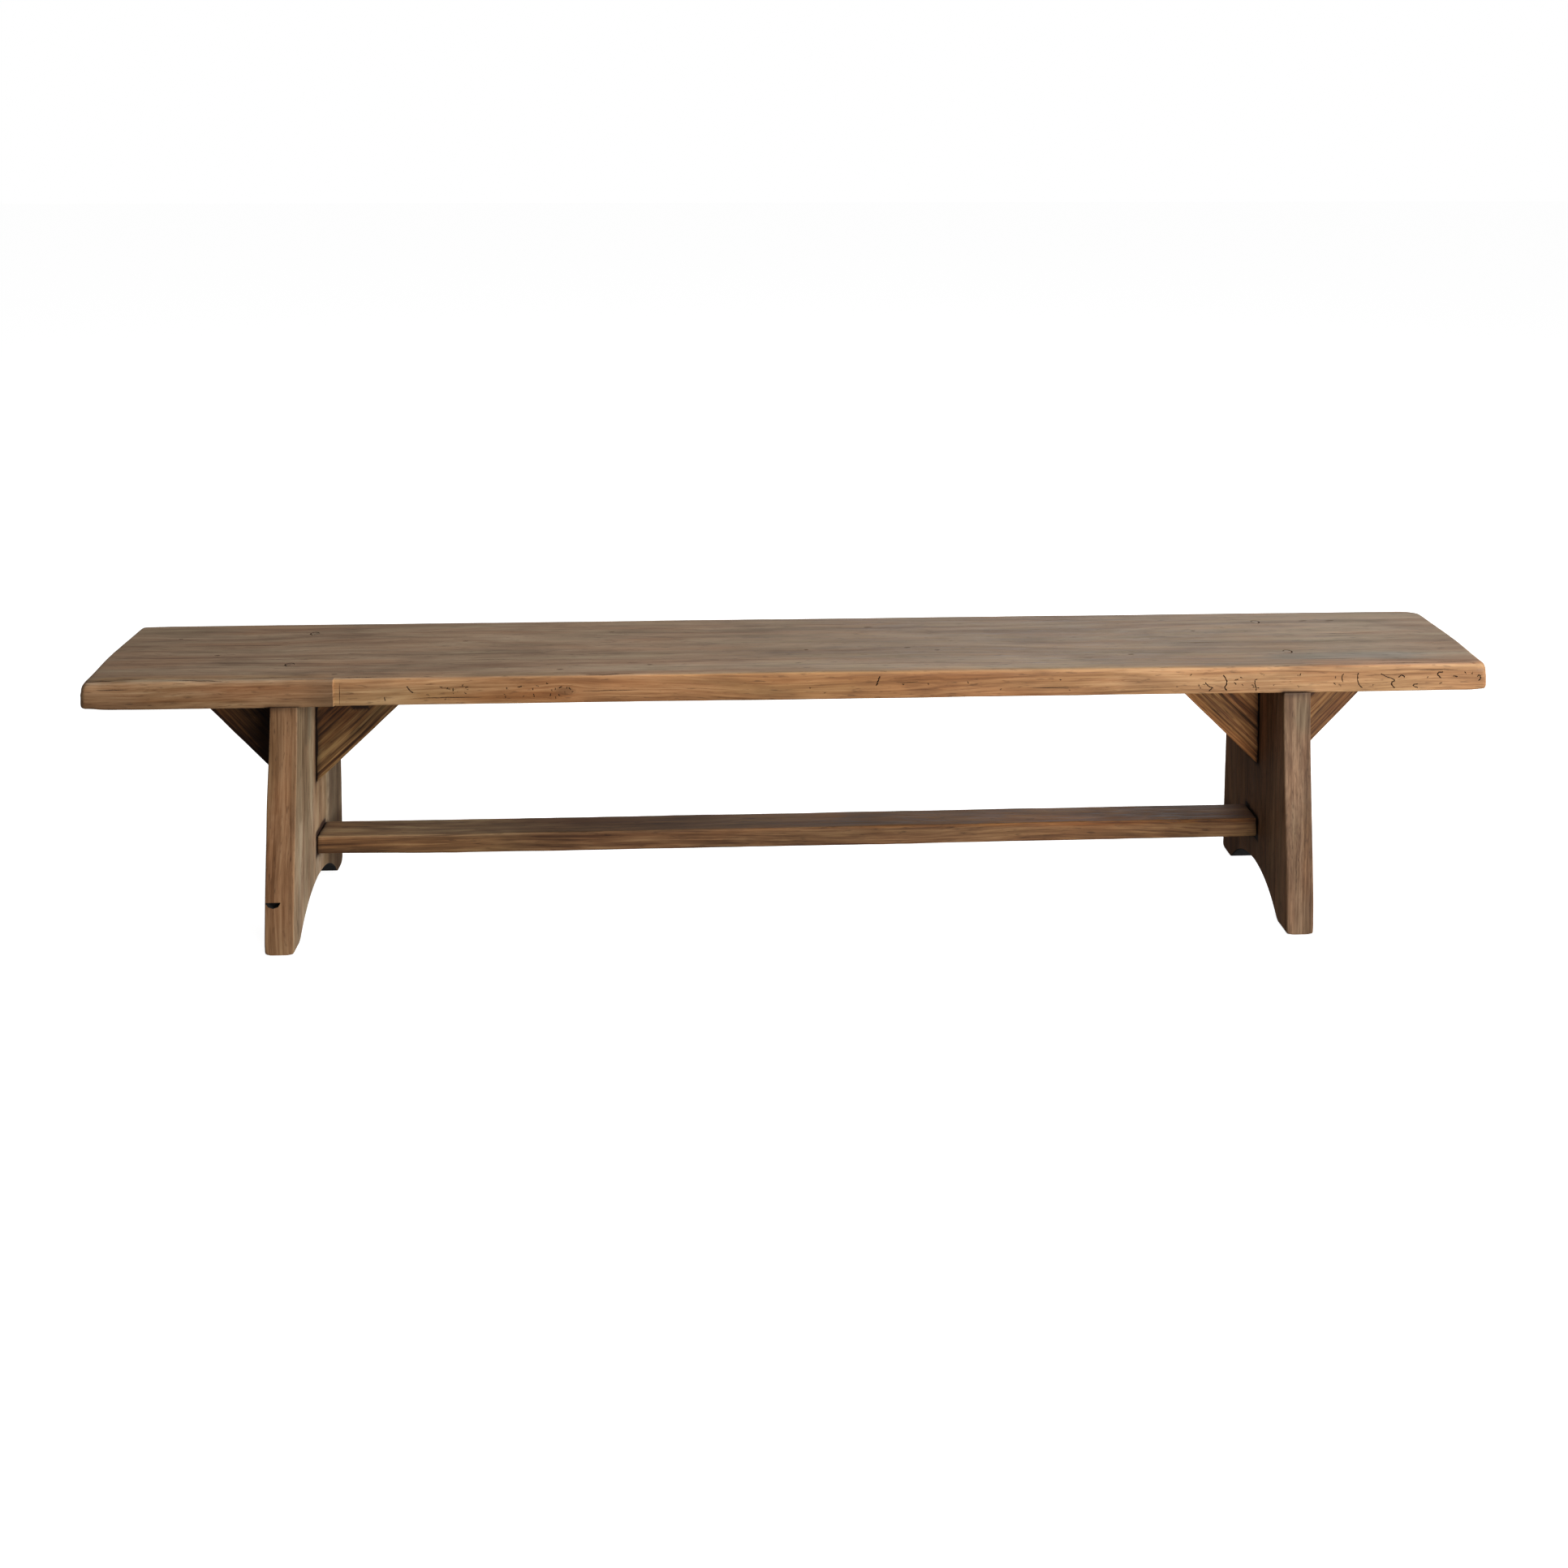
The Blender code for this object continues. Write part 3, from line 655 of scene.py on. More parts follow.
def seat_marks():
    """Cracks, pits and worm galleries where the photograph shows them, and a few more like them."""
    up, out, top = (0, 0, 1), (0, -1, 0), SEAT_HIGH.z
    marks = []
    for at, (x, y, length) in enumerate(TOP_PITS):
        place = (x, y, top - MARK_SINK)
        marks.append(gouge(place, (1, 0.05, 0), length, 0.0028, 0.0018, up, 0, at, 4))
    for at, (x, y, length) in enumerate(TOP_CRACKS):
        place = (x, y, top - MARK_SINK)
        marks.append(gouge(place, (1, 0, 0), length, 0.001, 0.0026, up, 0.0006, 40 + at, 10))
    for at, (x, back, length) in enumerate(TOP_FISSURES):
        place = (x, edge_at(x) + back, top - 0.0015)
        marks.append(gouge(place, (1, 0.02, 0), length, 0.0018, 0.004, up, 0.0008, 90 + at, 12))
    for at, (x, z, length) in enumerate(FRONT_CRACKS):
        place = (x, edge_at(x) + 0.001, z)
        marks.append(gouge(place, (1, 0, 0.01), length, 0.0012, 0.0035, out, 0.0005, 60 + at, 8))
    joint = (SEAT_STEP_X + 0.0095, SEAT_FRONT + 0.0005, SEAT_LOW.z + 0.45 * SEAT_THICKNESS)
    marks.append(gouge(joint, (0.02, 0, 1), 0.8 * SEAT_THICKNESS, 0.0009, 0.002, out, 0.0002, 70, 8))
    chance = random.Random(11)
    marks += [gallery(np.array(places) / 10000, chance.uniform(0.0009, 0.0013)) for places in GALLERIES]
    for low, high, count in SPECKS:
        for _ in range(count):
            x, z = chance.uniform(low, high), chance.uniform(0.412, 0.437)
            turn, reach = chance.uniform(0, pi), chance.uniform(0.0015, 0.004)
            end = (x + reach * cos(turn), z + reach * sin(turn))
            marks.append(gallery(np.array([(x, z), end]), chance.uniform(0.0006, 0.0011)))
    return joined("seat_marks", marks)


def gallery(places, width):
    """A shallow channel that a beetle's grub has left in the front edge, through places given as (x, z)."""
    curve = np.polyfit(np.linspace(0, 1, len(places)), places, len(places) - 1)
    path = []
    for step, share in enumerate(np.linspace(0, 1, 13)):
        x, z = sum(term * share**power for power, term in enumerate(curve[::-1]))
        turn = 900 * x + 2.3 * step
        path.append((x + 0.0005 * sin(turn), SEAT_FRONT + 0.0004, z + 0.0004 * cos(1.7 * turn)))
    radii = [(width * (0.4 + 0.6 * abs(sin(2 + 1.9 * step))), 0.0022) for step in range(len(path))]
    return tube(path, radii, (0, -1, 0))


def seat_tint(points):
    """The edge left of the step is browner and darkest at its end; right of it the edge is pale."""
    x, y = points[:, 0], points[:, 1]
    front_share = 1 - eased(y, SEAT_FRONT + 0.003, SEAT_FRONT + 0.01)
    old, new = front_share * (x < SEAT_STEP_X), front_share * (x >= SEAT_STEP_X)
    return blended(points, (
        (old, (0.98, 1.12, 1.34)),
        (old * eased(x, -0.8, -0.745), (0.7, 0.71, 0.73)),
        (new * (1 - eased(x, -0.66, -0.42)), (1.16, 1.3, 1.44)),
        (new * (1 - eased(x, -0.732, -0.729)), (1.1, 1.1, 1.06)),
    ))


def build_seat(materials):
    corners = SEAT_LENGTH / 2 - SEAT_CORNER_RADIUS * (np.arange(1, 9) / 8) ** 2
    step = (SEAT_STEP_X - STEP_SOFTNESS, SEAT_STEP_X + STEP_SOFTNESS)
    lines = [
        grid_lines(SEAT_LENGTH, ALONG_SPACING, SEAT_ARRIS, (*step, *corners, *(-corners))),
        grid_lines(SEAT_DEPTH, ACROSS_SPACING, SEAT_ARRIS),
        grid_lines(SEAT_THICKNESS, ACROSS_SPACING, SEAT_ARRIS),
    ]
    seat = board("seat", "seat_plank", lines, seat_arris, seat_warp, (0.2, 0.008), 3, 0.6)
    carve(seat, seat_marks())
    low, high = SEAT_LOW.z - CUT_OVERRUN, SEAT_HIGH.z + CUT_OVERRUN
    for leg, row in product(SIDES, ROWS):
        place, radius = peg_place(leg, row)
        carve_upright_hole(seat, place, low, high, radius + JOINT_GAP)
        place += Vector((PEG_GAP_SHIFT[0] * SIDES[leg], PEG_GAP_SHIFT[1], 0))
        carve_upright_hole(seat, place, PEG_GAP_FLOOR, high, radius + PEG_GAP_ROOM)
    for leg, facing in product(SIDES, FACINGS):
        carve_nail_hole(seat, leg, facing, "seat")
    neighbours = [f"{leg}_{part}" for leg in SIDES for part in ("leg", "outer_brace", "inner_brace")]
    finish_piece(seat, "seat_plank", materials, neighbours, seat_tint)


# Legs

def arch(leg):
    """The arch's radius, the height of its centre, and where the rounded heels start and end in depth."""
    arch_radius = ((ARCH_SPAN[leg] / 2) ** 2 + ARCH_RISE[leg] ** 2) / (2 * ARCH_RISE[leg])
    arch_middle = ARCH_RISE[leg] - arch_radius
    both = arch_radius + HEEL_RADIUS
    heel_end = sqrt(both**2 - (HEEL_RADIUS - arch_middle) ** 2)
    return arch_radius, arch_middle, heel_end * arch_radius / both, heel_end


def sole(leg, y, edge):
    """How high a leg's underside is: rounded toe, flat sole, rounded heel, and the arch between the heels."""
    arch_radius, arch_middle, heel_start, heel_end = arch(leg)
    depth = np.abs(y)
    rise = arch_middle + np.sqrt(np.maximum(arch_radius**2 - depth**2, 0))
    heel = HEEL_RADIUS - np.sqrt(np.maximum(HEEL_RADIUS**2 - (heel_end - depth) ** 2, 0))
    height = np.where(depth < heel_start, rise, np.where(depth < heel_end, heel, 0))
    radius = np.where(y < 0, FRONT_TOE_RADIUS, REAR_TOE_RADIUS[leg])
    beyond = np.clip(depth - (edge - radius), 0, radius)
    return height + radius - np.sqrt(radius**2 - beyond**2)


def leg_warp(leg):
    low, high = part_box(f"{leg}_leg")
    foot_depth = high.y - low.y

    def warp(local):
        along, across, through = local.T
        up = along / LEG_HEIGHT + 0.5
        flare = (1 - up) ** 2 * (1 + 2 * up)
        edge = (LEG_TOP_DEPTH + (foot_depth - LEG_TOP_DEPTH) * flare) / 2
        y = across / (LEG_TOP_DEPTH / 2) * edge
        bottom = sole(leg, y, edge)
        z = bottom + up * (LEG_HEIGHT - bottom)
        x = leg_middle(leg, z) + through
        if leg == "left":
            worn = eased(up, 0.55, 1.0) * eased(-across, 0.11, 0.14)
            x = x + 0.0035 * (worn * eased(-through, 0, leg_thickness(leg) / 2))
        return np.stack([x, y, z], 1)

    return warp


def leg_arris(leg, seed):
    """The feet's lower corners are rounder than the long edges, and the line on the floor is crisp."""
    half_thickness = leg_thickness(leg) / 2

    def arris(sharp):
        along, across, through = sharp.T
        low = eased(-along, LEG_HEIGHT / 2 - 0.018, LEG_HEIGHT / 2 - 0.003)
        low = low * eased(np.abs(across), 0.095, 0.12)
        side = eased(np.abs(through), half_thickness - 0.012, half_thickness - 0.002)
        width = 0.0022 * (1 - low) + low * (0.0007 + 0.0032 * side * (across < 0))
        return width * wavy(along + 3 * np.sign(across) + 5 * np.sign(through), seed)

    return arris


def chip_cutter(leg):
    """A half-moon with a flat top and a slightly uneven round bottom, which narrows inwards."""
    width, height = CHIP_SIZE
    middle = leg_face(leg, "outer", CHIP_TOP) - SIDES[leg] * (CHIP_RIM + width / 2)
    front_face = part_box(f"{leg}_leg")[0].y
    outline = []
    for angle in np.linspace(0, pi, CHIP_STEPS + 1):
        swell = 1 + 0.03 * sin(9 * angle)
        outline.append((width / 2 * cos(angle) * swell, -height * sin(angle) * swell))
    rings = []
    for depth, taper in ((-CUT_OVERRUN, 1), (0.7 * CHIP_DEPTH, 1), (CHIP_DEPTH, 0.8)):
        rings.append([(middle + x * taper, front_face + depth, CHIP_TOP + z * taper) for x, z in outline])
    return mesh_object("chip", *skin(rings))


def paint_arch_shade(obj, leg):
    """The underside of the arch takes the second material slot, which is nearly black: painted shade for the
    deep shadow under the arch.
    """
    polygons = obj.data.polygons
    downward = vectors(polygons, "normal")[:, 2] < -0.2
    y, z = vectors(polygons, "center")[:, 1:].T
    inside = (z > 0.0012) & (z < ARCH_RISE[leg] + 0.012) & (np.abs(y) < arch(leg)[3])
    polygons.foreach_set("material_index", (downward & inside).astype(np.int32))


def build_leg(leg, materials, seed):
    low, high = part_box(f"{leg}_leg")
    heel_lines = np.linspace(*arch(leg)[2:], 9) * LEG_TOP_DEPTH / (high.y - low.y)
    toe_lines = LEG_TOP_DEPTH / 2 - REAR_TOE_RADIUS[leg] * (np.arange(1, 11) / 10) ** 2
    lines = [
        grid_lines(LEG_HEIGHT, ALONG_SPACING, LEG_ARRIS),
        grid_lines(LEG_TOP_DEPTH, ACROSS_SPACING, LEG_ARRIS, (*toe_lines, *heel_lines, *(-heel_lines))),
        grid_lines(leg_thickness(leg), ACROSS_SPACING, LEG_ARRIS),
    ]
    arris, warp = leg_arris(leg, seed), leg_warp(leg)
    obj = board(f"leg_{leg}", f"{leg}_leg", lines, arris, warp, (0.1, 0.008), seed, 0.4)
    paint_arch_shade(obj, leg)
    if leg == "left":
        carve(obj, chip_cutter(leg))
    carve(obj, tenon_block("mortise", leg, TENON_LENGTH + JOINT_GAP, JOINT_GAP))
    for row in ROWS:
        place, radius = peg_place(leg, row)
        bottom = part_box(f"{leg}_{row}_peg")[0].z - JOINT_GAP
        carve_upright_hole(obj, place, bottom, LEG_HEIGHT + CUT_OVERRUN, radius + JOINT_GAP)
    for facing in FACINGS:
        carve_nail_hole(obj, leg, facing, "leg")
    neighbours = ("seat_plank", f"{leg}_outer_brace", f"{leg}_inner_brace", "stretcher")
    finish_piece(obj, f"{leg}_leg", materials, neighbours)


# Braces

def brace_corners(leg, facing):
    """The corner under the seat, the tip along the seat and the tip down the leg, as (x, z)."""
    low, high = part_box(f"{leg}_{facing}_brace")
    away = SIDES[leg] * FACINGS[facing]
    tip_x = high.x if away > 0 else low.x
    corners = []
    for z in (high.z, low.z):
        corners.append(Vector((leg_face(leg, facing, z) + away * JOINT_GAP, z)))
    return corners[0], Vector((tip_x, high.z)), corners[1]


def brace_slope(leg, facing):
    """The angle of the sloping side, which the grain follows, from the leg up to the seat."""
    _, seat_tip, leg_tip = brace_corners(leg, facing)
    return atan2(seat_tip.y - leg_tip.y, seat_tip.x - leg_tip.x)


def brace_tint(leg, facing):
    """Darker and paler bands of grain along the sloping side."""
    _, seat_tip, leg_tip = brace_corners(leg, facing)
    slope = np.array(seat_tip - leg_tip)
    slope /= np.linalg.norm(slope)

    def tinted(points):
        offset = points[:, (0, 2)] - np.array(leg_tip)
        distance = np.abs(offset[:, 0] * slope[1] - offset[:, 1] * slope[0])
        distance = distance + 0.0015 * noise(points, (0.03, 0.03, 0.03), 9)
        pairs = []
        for start, end, factor in BRACE_BANDS[leg, facing]:
            begun = eased(distance, start - 0.002, start + 0.001)
            ended = eased(distance, end - 0.001, end + 0.002)
            pairs.append((begun * (1 - ended), factor))
        return blended(points, pairs)

    return tinted


def build_brace(leg, facing, materials, seed):
    """Grain lines run parallel to the sloping side, shorter and shorter towards the corner."""
    corner, seat_tip, leg_tip = brace_corners(leg, facing)
    node = f"{leg}_{facing}_brace"
    low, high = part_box(node)
    slope = (seat_tip - leg_tip).length
    reach = abs((seat_tip - corner).cross(leg_tip - corner)) / slope
    to_seat, to_leg = np.array(seat_tip - corner), np.array(leg_tip - corner)

    def warp(local):
        along = (local[:, 0] / slope + 0.5)[:, None]
        out = (BRACE_BLUNT + (1 - BRACE_BLUNT) * (local[:, 1] / reach + 0.5))[:, None]
        place = np.array(corner) + out * (along * to_seat + (1 - along) * to_leg)
        return np.stack([place[:, 0], local[:, 2] + (low.y + high.y) / 2, place[:, 1]], 1)

    sizes = (slope, reach, high.y - low.y)
    lines = [grid_lines(size, ACROSS_SPACING, BRACE_ARRIS) for size in sizes]
    arris = even_arris(0.0022, seed)
    obj = board(f"brace_{leg}_{facing}", node, lines, arris, warp, (0.09, 0.01), seed, 1.3)
    for into in ("seat", "leg"):
        carve_nail_hole(obj, leg, facing, into)
    finish_piece(obj, node, materials, ("seat_plank", f"{leg}_leg"), brace_tint(leg, facing))


# Stretcher

def stretcher_middle(leg):
    """The height of the rail's middle at a leg: low at the left one, high at the right one."""
    low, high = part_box("stretcher")
    if leg == "left":
        return low.z + STRETCHER_HEIGHT / 2
    return high.z - STRETCHER_HEIGHT / 2


def tenon_block(name, leg, length, room=0.0):
    """The rail's stub tenon at a leg, or its mortise, which has room all round."""
    low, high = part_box("stretcher")
    height = stretcher_middle(leg)
    shoulder = leg_face(leg, "inner", height)
    ends = sorted(shoulder + SIDES[leg] * outward for outward in (-CUT_OVERRUN, length))
    start, end = (Vector((x, (low.y + high.y) / 2, height)) for x in ends)
    reach = Vector((0, TENON_DEPTH / 2 + room, TENON_HEIGHT / 2 + room))
    return block(name, start - reach, end + reach)


def build_stretcher(materials):
    """A rail that climbs a little to the right, and whose lower edge is worn away at the left end."""
    low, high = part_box("stretcher")
    start, end = (stretcher_middle(leg) for leg in SIDES)
    left, right = leg_face("left", "inner", start) + JOINT_GAP, leg_face("right", "inner", end) - JOINT_GAP
    sizes = (right - left, high.y - low.y, STRETCHER_HEIGHT)

    def warp(local):
        along, across, up = local.T
        to_right = along / sizes[0] + 0.5
        middle = start + (end - start) * to_right
        up_share = up / STRETCHER_HEIGHT + 0.5
        worn = 0.0012 * (2 * to_right - 1) ** 2 + 0.0028 * (1 - eased(to_right, 0.0, 0.16))
        z = middle + up + worn * (1 - up_share) - 0.001 * up_share * eased(to_right, 0, 0.4)
        x = along + (left + right) / 2
        x = x - LEG_LEAN * up / LEG_HEIGHT * (2 * to_right - 1)
        return np.stack([x, across + (low.y + high.y) / 2, z], 1)

    spacings = (ALONG_SPACING, STRETCHER_SPACING, STRETCHER_SPACING)
    lines = [grid_lines(size, spacing, STRETCHER_ARRIS) for size, spacing in zip(sizes, spacings)]
    obj = board("rail", "stretcher", lines, even_arris(0.003, 31), warp, (0.16, 0.009), 31, 0.9)
    for leg in SIDES:
        carve(obj, tenon_block("tenon", leg, TENON_LENGTH - 2 * JOINT_GAP), "UNION")
    finish_piece(obj, "stretcher", materials, ("left_leg", "right_leg"))


# Pegs and nails

def peg_place(leg, row):
    low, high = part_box(f"{leg}_{row}_peg")
    return (low + high) / 2, (high.x - low.x) / 2


def build_peg(leg, row, materials):
    """A whittled peg: a blunt point below, and a slightly domed head that wear has rounded."""
    node = f"{leg}_{row}_peg"
    low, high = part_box(node)
    place, radius = peg_place(leg, row)
    height = high.z - low.z
    profile = [(0, 0.6), (0.01, 0.97), (0.5 * height, 0.98)]
    for step in range(7):
        angle = step * pi / 12
        profile.append((height - 0.0012 * (1 - sin(angle)), 0.86 + 0.12 * cos(angle)))
    profile += [(height - 0.0003 * (1 - share), share) for share in (0.7, 0.45, 0.2)]
    peg = lathe(f"peg_{leg}_{row}", [(z, radius * share, 0.05) for z, share in profile], 28)
    moved(peg, Vector((place.x, place.y, low.z)))
    # Painted shade: the peg's side below its head takes the full dirt tone, darkening the worn gap beside it
    below_head = high.z - 0.0008
    finish_piece(peg, node, materials, soiled_and_shaded=lambda points: 2.0 * (points[:, 2] < below_head))


def carve_nail_hole(obj, leg, facing, into):
    """Room for the shank and the point, and the pocket that the head has crushed into the brace."""
    head, point = nail_line(leg, facing, into)
    axis = (point - head).normalized()
    shank = 0.5 * sqrt(2) * NAIL_SHANK + JOINT_GAP
    carve(obj, round_bar("hole", head, point + axis * JOINT_GAP, shank))
    if "brace" in obj.name:
        low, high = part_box(f"{leg}_{facing}_{into}_nail")
        pocket = head + axis * (NAIL_HEAD_HEIGHT + JOINT_GAP)
        carve(obj, round_bar("pocket", head - axis * 0.02, pocket, (high.y - low.y) / 2 + JOINT_GAP))


def build_nail(leg, facing, into, materials):
    """A hand-forged nail: a square shank that tapers to its point, under a hammered, faceted head."""
    node = f"{leg}_{facing}_{into}_nail"
    head, point = nail_line(leg, facing, into)
    low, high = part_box(node)
    radius = (high.y - low.y) / 2
    length = (point - head).length
    shank = NAIL_SHANK / sqrt(2)
    rings = [(0, 0.3 * radius, 0), (0.0007, 0.72 * radius, 0.1), (0.0014, 0.97 * radius, 0.1)]
    rings += [(NAIL_HEAD_HEIGHT, 0.92 * radius, 0.1), (NAIL_HEAD_HEIGHT, shank, 0)]
    rings += [(0.6 * length, 0.85 * shank, 0), (0.92 * length, 0.5 * shank, 0), (length, 0.12 * shank, 0)]
    nail = lathe(f"nail_{leg}_{facing}_{into}", rings, 8, pi / 8)
    moved(nail, head, point - head)
    finish_piece(nail, node, materials)


# Materials

def colour(red, green, blue):
    """A colour given as it shows on a display, from 0 to 255, in the linear values that a shader takes."""
    shares = [shown / 255 for shown in (red, green, blue)]
    return (*(s / 12.92 if s <= 0.04045 else ((s + 0.055) / 1.055) ** 2.4 for s in shares), 1)


class Nodes:
    """Builds the nodes of a material or a world; a value is a number, a colour or another node's output."""

    def __init__(self, owner):
        owner.use_nodes = True
        self.owner = owner
        self.tree = owner.node_tree

    def feed(self, socket, value):
        if isinstance(value, bpy.types.NodeSocket):
            self.tree.links.new(value, socket)
        else:
            socket.default_value = value

    def node(self, kind, *values, named=None, **settings):
        """A node whose first inputs take the values in turn; named gives inputs by name or number."""
        made = self.tree.nodes.new("ShaderNode" + kind)
        for name, setting in settings.items():
            setattr(made, name, setting)
        for key, value in (*enumerate(values), *(named or {}).items()):
            self.feed(made.inputs[key], value)
        return made

    def math(self, operation, *values):
        return self.node("Math", *values, operation=operation).outputs[0]

    def vector(self, operation, *values):
        made = self.node("VectorMath", *values, operation=operation)
        return made.outputs[1 if operation in ("LENGTH", "DOT_PRODUCT") else 0]

    def mix(self, share, first, second, blend="MIX"):
        inputs = {0: share, 6: first, 7: second}
        return self.node("Mix", named=inputs, data_type="RGBA", blend_type=blend).outputs[2]

    def ramp(self, share, tones, places=(0.0, 0.5, 1.0)):
        made = self.node("ValToRGB", share)
        elements = made.color_ramp.elements
        while len(elements) < len(tones):
            elements.new(0.5)
        for element, tone, place in zip(elements, tones, places):
            element.position = place
            element.color = colour(*tone)
        return made.outputs[0]

    def range(self, value, low, high, to_low=0.0, to_high=1.0):
        return self.node("MapRange", value, low, high, to_low, to_high).outputs[0]

    def noise(self, places, scale, detail=2.0, rough=0.5, shade=False):
        """Noise with so many cells a metre along each axis."""
        stretched = self.vector("MULTIPLY", places, scale)
        inputs = {"Vector": stretched, "Scale": 1.0, "Detail": detail, "Roughness": rough}
        return self.node("TexNoise", named=inputs).outputs[1 if shade else 0]

    def attribute(self, name, output="Fac"):
        return self.node("Attribute", attribute_name=name).outputs[output]

    def bump(self, strength, distance, height):
        inputs = {"Strength": strength, "Distance": distance, "Height": height}
        return self.node("Bump", named=inputs).outputs[0]

    def surface(self, inputs):
        """Feeds the inputs of the material's surface by name."""
        for name, value in inputs.items():
            self.feed(self.tree.nodes["Principled BSDF"].inputs[name], value)
        return self.owner


def wood(name, tones, turn, seed, pith=(0.03, -0.16), knot=None, weathered=None, spread=0.1):
    """Old timber, solid all through: rings about a pith, fibres, flecks, stain marks, worn arrises, dirt, and
    the painted shade and painted light that the mesh carries.

    tones are dark, middle, light and dirt, the last also standing for painted shade; turn carries the grain
    to x; a knot has a centre and a size;
    weathered holds a direction and the tones of the faces that look there; a small spread is bolder.
    """
    light, dirt_and_shade = (colour(*tone) for tone in tones[2:])
    nodes = Nodes(bpy.data.materials.new(name))
    coords = nodes.node("TexCoord").outputs["Object"]
    grain = nodes.node("Mapping", coords, (seed * 1.7, 0, 0), (0, turn, 0)).outputs[0]
    if knot:
        centre, size = knot
        offset = nodes.vector("SUBTRACT", coords, centre)
        distance = nodes.vector("LENGTH", nodes.vector("MULTIPLY", offset, (0.45 / size, 1 / size, 1 / size)))
        push = nodes.math("POWER", nodes.range(distance, 4.5, 0.6), 2.0)
        pull = nodes.vector("MULTIPLY", offset, (0, -0.65, -0.65))
        pull = nodes.vector("MULTIPLY", pull, nodes.node("CombineXYZ", push, push, push).outputs[0])
        grain = nodes.vector("ADD", grain, pull)
        uneven = nodes.range(nodes.noise(coords, (300, 300, 300)), 0, 1, -0.3, 0.3)
        knot_dark = nodes.range(nodes.math("ADD", distance, uneven), 1.15, 0.5)
    wander = nodes.vector("SUBTRACT", nodes.noise(grain, (1.5, 7, 7), 2, 0.5, True), (0.5, 0.5, 0.5))
    bent = nodes.vector("ADD", grain, nodes.vector("MULTIPLY", wander, (0, 0.045, 0.045)))
    across = nodes.vector("MULTIPLY", nodes.vector("SUBTRACT", bent, (0, *pith)), (0, 1, 1))
    along = nodes.node("SeparateXYZ", bent).outputs[0]
    ring_place = nodes.node("CombineXYZ", along, nodes.vector("LENGTH", across)).outputs[0]
    rings = nodes.noise(ring_place, (0.9, 170, 1), 4, 0.62)
    fibres = nodes.noise(bent, (12, 330, 330), 3, 0.6)
    bands = nodes.noise(bent, (3.0, 44, 44), 2)
    flecks = nodes.noise(bent, (40, 300, 300), 2, 0.6)
    blotches = nodes.noise(grain, (7, 20, 20), 3, 0.6)
    hue = nodes.noise(bent, (4.0, 42, 42), 2, 0.5)
    total = nodes.math("MULTIPLY_ADD", rings, 0.38, nodes.math("MULTIPLY", fibres, 0.34))
    total = nodes.math("MULTIPLY_ADD", bands, 0.28, total)
    share = nodes.range(total, 0.5 - spread, 0.5 + spread)
    shade = nodes.ramp(share, tones[:3])
    if weathered:
        direction, face_tones = weathered
        normal = nodes.node("NewGeometry").outputs["Normal"]
        turned = nodes.range(nodes.vector("DOT_PRODUCT", normal, direction), 0.62, 0.96)
        patchy = nodes.math("MULTIPLY", turned, nodes.range(blotches, 0.25, 0.5, 0.86, 1.0))
        shade = nodes.mix(patchy, shade, nodes.ramp(share, face_tones))
    shade = nodes.mix(nodes.range(hue, 0.5, 0.68, 0, 0.45), shade, (1.06, 0.89, 0.78, 1), "MULTIPLY")
    shade = nodes.mix(nodes.range(hue, 0.5, 0.32, 0, 0.7), shade, (0.93, 1, 0.98, 1), "MULTIPLY")
    shade = nodes.mix(nodes.range(blotches, 0.52, 0.72, 0, 0.3), shade, dirt_and_shade)
    arris = nodes.math("MULTIPLY", nodes.attribute("arris"), nodes.range(bands, 0.35, 0.6, 0.2, 0.5))
    shade = nodes.mix(arris, shade, light)
    shade = nodes.mix(nodes.range(flecks, 0.6, 0.74, 0, 0.55), shade, dirt_and_shade)
    shade = nodes.mix(1.0, shade, nodes.attribute("tint", "Color"), "MULTIPLY")
    if knot:
        shade = nodes.mix(nodes.math("MULTIPLY", knot_dark, 0.4), shade, dirt_and_shade)
    # The dirt attribute darkens towards the dirt tone, for real dirt and for painted shade
    soiled_and_shaded = nodes.math("MULTIPLY", nodes.attribute("dirt_and_shade"), nodes.range(blotches, 0.3, 0.6, 0.35, 0.85))
    height = nodes.math("MULTIPLY_ADD", rings, 0.5, nodes.math("MULTIPLY", fibres, 0.6))
    height = nodes.math("MULTIPLY_ADD", flecks, -0.4, height)
    return nodes.surface({
        "Base Color": nodes.mix(soiled_and_shaded, shade, dirt_and_shade),
        "Roughness": nodes.range(fibres, 0.35, 0.65, 0.52, 0.74),
        "Specular IOR Level": 0.28,
        "Normal": nodes.bump(0.55, 0.0006, height),
    })


def plain_rough(name, dark, light, scale, roughness, metallic=0.0):
    """A mottled surface without grain, for the insides of cuts and for old iron; the nearly black one is
    painted shade under the legs' arches and in the legs' cuts.
    """
    nodes = Nodes(bpy.data.materials.new(name))
    mottle = nodes.noise(nodes.node("TexCoord").outputs["Object"], (scale, scale, scale), 4, 0.65)
    return nodes.surface({
        "Base Color": nodes.ramp(mottle, (dark, light), (0.35, 0.65)),
        "Metallic": metallic,
        "Roughness": nodes.range(mottle, 0.3, 0.7, roughness, roughness + 0.2),
        "Normal": nodes.bump(0.6, 0.0005, mottle),
    })


# Stage

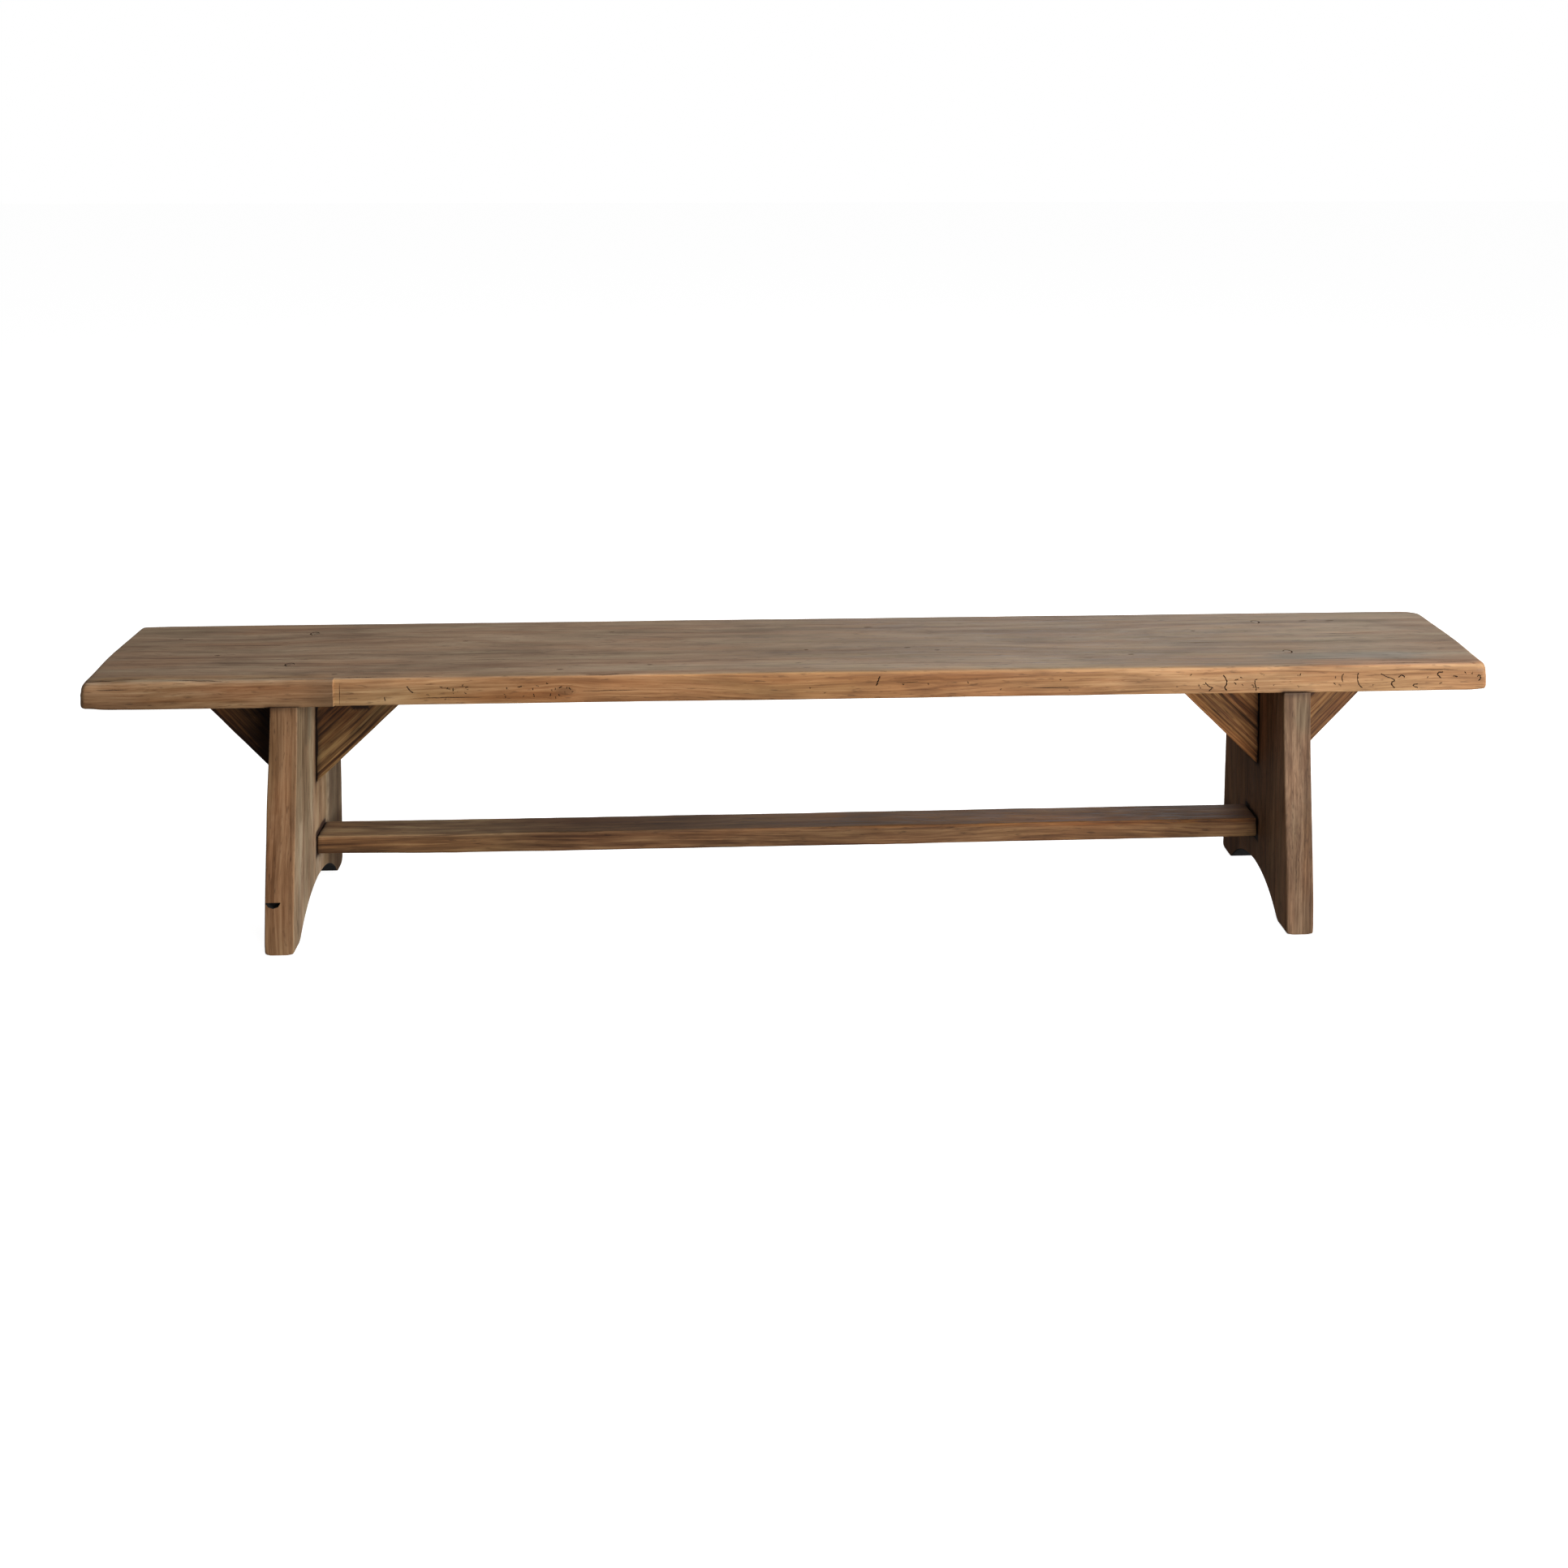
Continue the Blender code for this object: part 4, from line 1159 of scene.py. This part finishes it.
def build_stage():
    """A wide pale floor that is lit evenly and takes only a faint contact shadow."""
    half = FLOOR_SIZE / 2
    corners = [(x * half, y * half, -FLOOR_DROP) for x, y in ((-1, -1), (1, -1), (1, 1), (-1, 1))]
    floor = mesh_object("floor", corners, [(0, 1, 2, 3)])
    floor.data.materials.append(Nodes(bpy.data.materials.new("pale_floor")).surface({
        "Base Color": (0.8, 0.8, 0.8, 1),
        "Roughness": 1.0,
        "Specular IOR Level": 0.0,
        "Emission Color": (1, 1, 1, 1),
        "Emission Strength": 0.86,
    }))
    for kind in ("diffuse", "glossy", "transmission", "shadow"):
        setattr(floor, f"visible_{kind}", False)


def build_light():
    """Area lights, and a sky that the camera sees as plain white."""
    for name, (place, target, size, power) in AREA_LIGHTS.items():
        lamp = linked(name, bpy.data.lights.new(name, "AREA"))
        lamp.data.shape = "RECTANGLE"
        lamp.data.size, lamp.data.size_y = size
        lamp.data.energy = power
        lamp.location = place
        lamp.rotation_euler = (Vector(target) - lamp.location).to_track_quat("-Z", "Y").to_euler()
    world = bpy.data.worlds.new("studio")
    sky = Nodes(world)
    height = sky.node("SeparateXYZ", sky.node("TexCoord").outputs["Generated"]).outputs[2]
    level = sky.range(height, -0.3, 0.3, BOUNCE_LIGHT, SKY_LIGHT)
    backdrop = sky.tree.nodes["Background"]
    backdrop.inputs["Color"].default_value = (1, 1, 1, 1)
    around = sky.node("Background", named={"Strength": level})
    seen = sky.node("LightPath").outputs["Is Camera Ray"]
    either = sky.node("MixShader", seen, around.outputs[0], backdrop.outputs[0])
    sky.feed(sky.tree.nodes["World Output"].inputs[0], either.outputs[0])
    bpy.context.scene.world = world


def build_camera():
    camera = linked("camera", bpy.data.cameras.new("camera"))
    camera.data.lens = CAMERA_LENS
    camera.data.sensor_width = CAMERA_SENSOR
    camera.data.shift_y = CAMERA_SHIFT_Y
    camera.location = CAMERA_PLACE
    camera.rotation_euler = [radians(angle) for angle in (90 - CAMERA_PITCH, 0, CAMERA_YAW)]
    bpy.context.scene.camera = camera


# Tones, as they show on a display: dark, middle, light and dirt, which also paints shade

SEAT_TONES = ((114, 74, 43), (158, 112, 72), (188, 142, 98), (58, 38, 24))
SEAT_TOP_TONES = ((112, 88, 69), (141, 117, 94), (161, 139, 115))
LEFT_LEG_TONES = ((108, 75, 47), (142, 106, 74), (166, 130, 95), (52, 32, 20))
LEFT_INNER_TONES = ((100, 77, 54), (146, 121, 93), (176, 154, 126))
RIGHT_LEG_TONES = ((86, 61, 41), (114, 86, 63), (142, 113, 87), (46, 30, 20))
RIGHT_INNER_TONES = ((104, 70, 46), (144, 104, 74), (178, 138, 103))
BRACE_TONES = {
    ("left", "outer"): ((41, 20, 7), (82, 50, 24), (112, 76, 40), (14, 7, 4)),
    ("left", "inner"): ((48, 28, 13), (98, 68, 38), (134, 106, 68), (20, 11, 6)),
    ("right", "inner"): ((71, 40, 18), (170, 113, 66), (214, 159, 101), (24, 13, 7)),
    ("right", "outer"): ((66, 38, 18), (124, 84, 49), (160, 120, 75), (34, 20, 12)),
}
STRETCHER_TONES = ((76, 49, 30), (116, 81, 52), (150, 114, 78), (36, 22, 14))
STRETCHER_TOP_TONES = ((80, 54, 34), (114, 84, 57), (146, 116, 82))
PEG_TONES = ((104, 84, 66), (130, 108, 88), (152, 130, 108), (40, 28, 18))

KNOT = ((-0.374, SEAT_FRONT, 0.425), 0.008)
UPRIGHT = pi / 2


def main():
    bpy.context.scene.view_settings.view_transform = "Standard"
    inside = plain_rough("cut_wood", (44, 27, 15), (82, 53, 31), 240, 0.75)
    # Nearly black: painted shade under the legs' arches and inside the legs' cuts
    painted_shade_inside = plain_rough("painted_shade_wood", (8, 5, 3), (20, 12, 8), 240, 0.85)
    weathered = ((0, 0, 1), SEAT_TOP_TONES)
    build_seat([wood("seat_wood", SEAT_TONES, 0, 1, (0.03, 0.26), KNOT, weathered, 0.13), inside])
    weathered = ((1, 0, 0), LEFT_INNER_TONES)
    left_wood = wood("leg_wood_left", LEFT_LEG_TONES, UPRIGHT, 2, weathered=weathered, spread=0.12)
    build_leg("left", [left_wood, painted_shade_inside], 20)
    weathered = ((-1, 0, 0), RIGHT_INNER_TONES)
    right_wood = wood("leg_wood_right", RIGHT_LEG_TONES, UPRIGHT, 3, weathered=weathered)
    build_leg("right", [right_wood, painted_shade_inside], 24)
    for at, (leg, facing) in enumerate(product(SIDES, FACINGS)):
        slope = brace_slope(leg, facing)
        brace = wood(f"brace_wood_{leg}_{facing}", BRACE_TONES[leg, facing], slope, 4 + at, spread=0.08)
        build_brace(leg, facing, [brace, inside], 50 + 4 * at)
    weathered = ((0, 0, 1), STRETCHER_TOP_TONES)
    build_stretcher([wood("stretcher_wood", STRETCHER_TONES, 0, 9, weathered=weathered), inside])
    peg_wood = wood("peg_wood", PEG_TONES, UPRIGHT, 10)
    iron = plain_rough("nail_iron", (38, 30, 26), (72, 56, 46), 500, 0.6, 0.7)
    for leg in SIDES:
        for row in ROWS:
            build_peg(leg, row, [peg_wood])
        for facing, into in product(FACINGS, ("seat", "leg")):
            build_nail(leg, facing, into, [iron])
    build_stage()
    build_light()
    build_camera()


main()
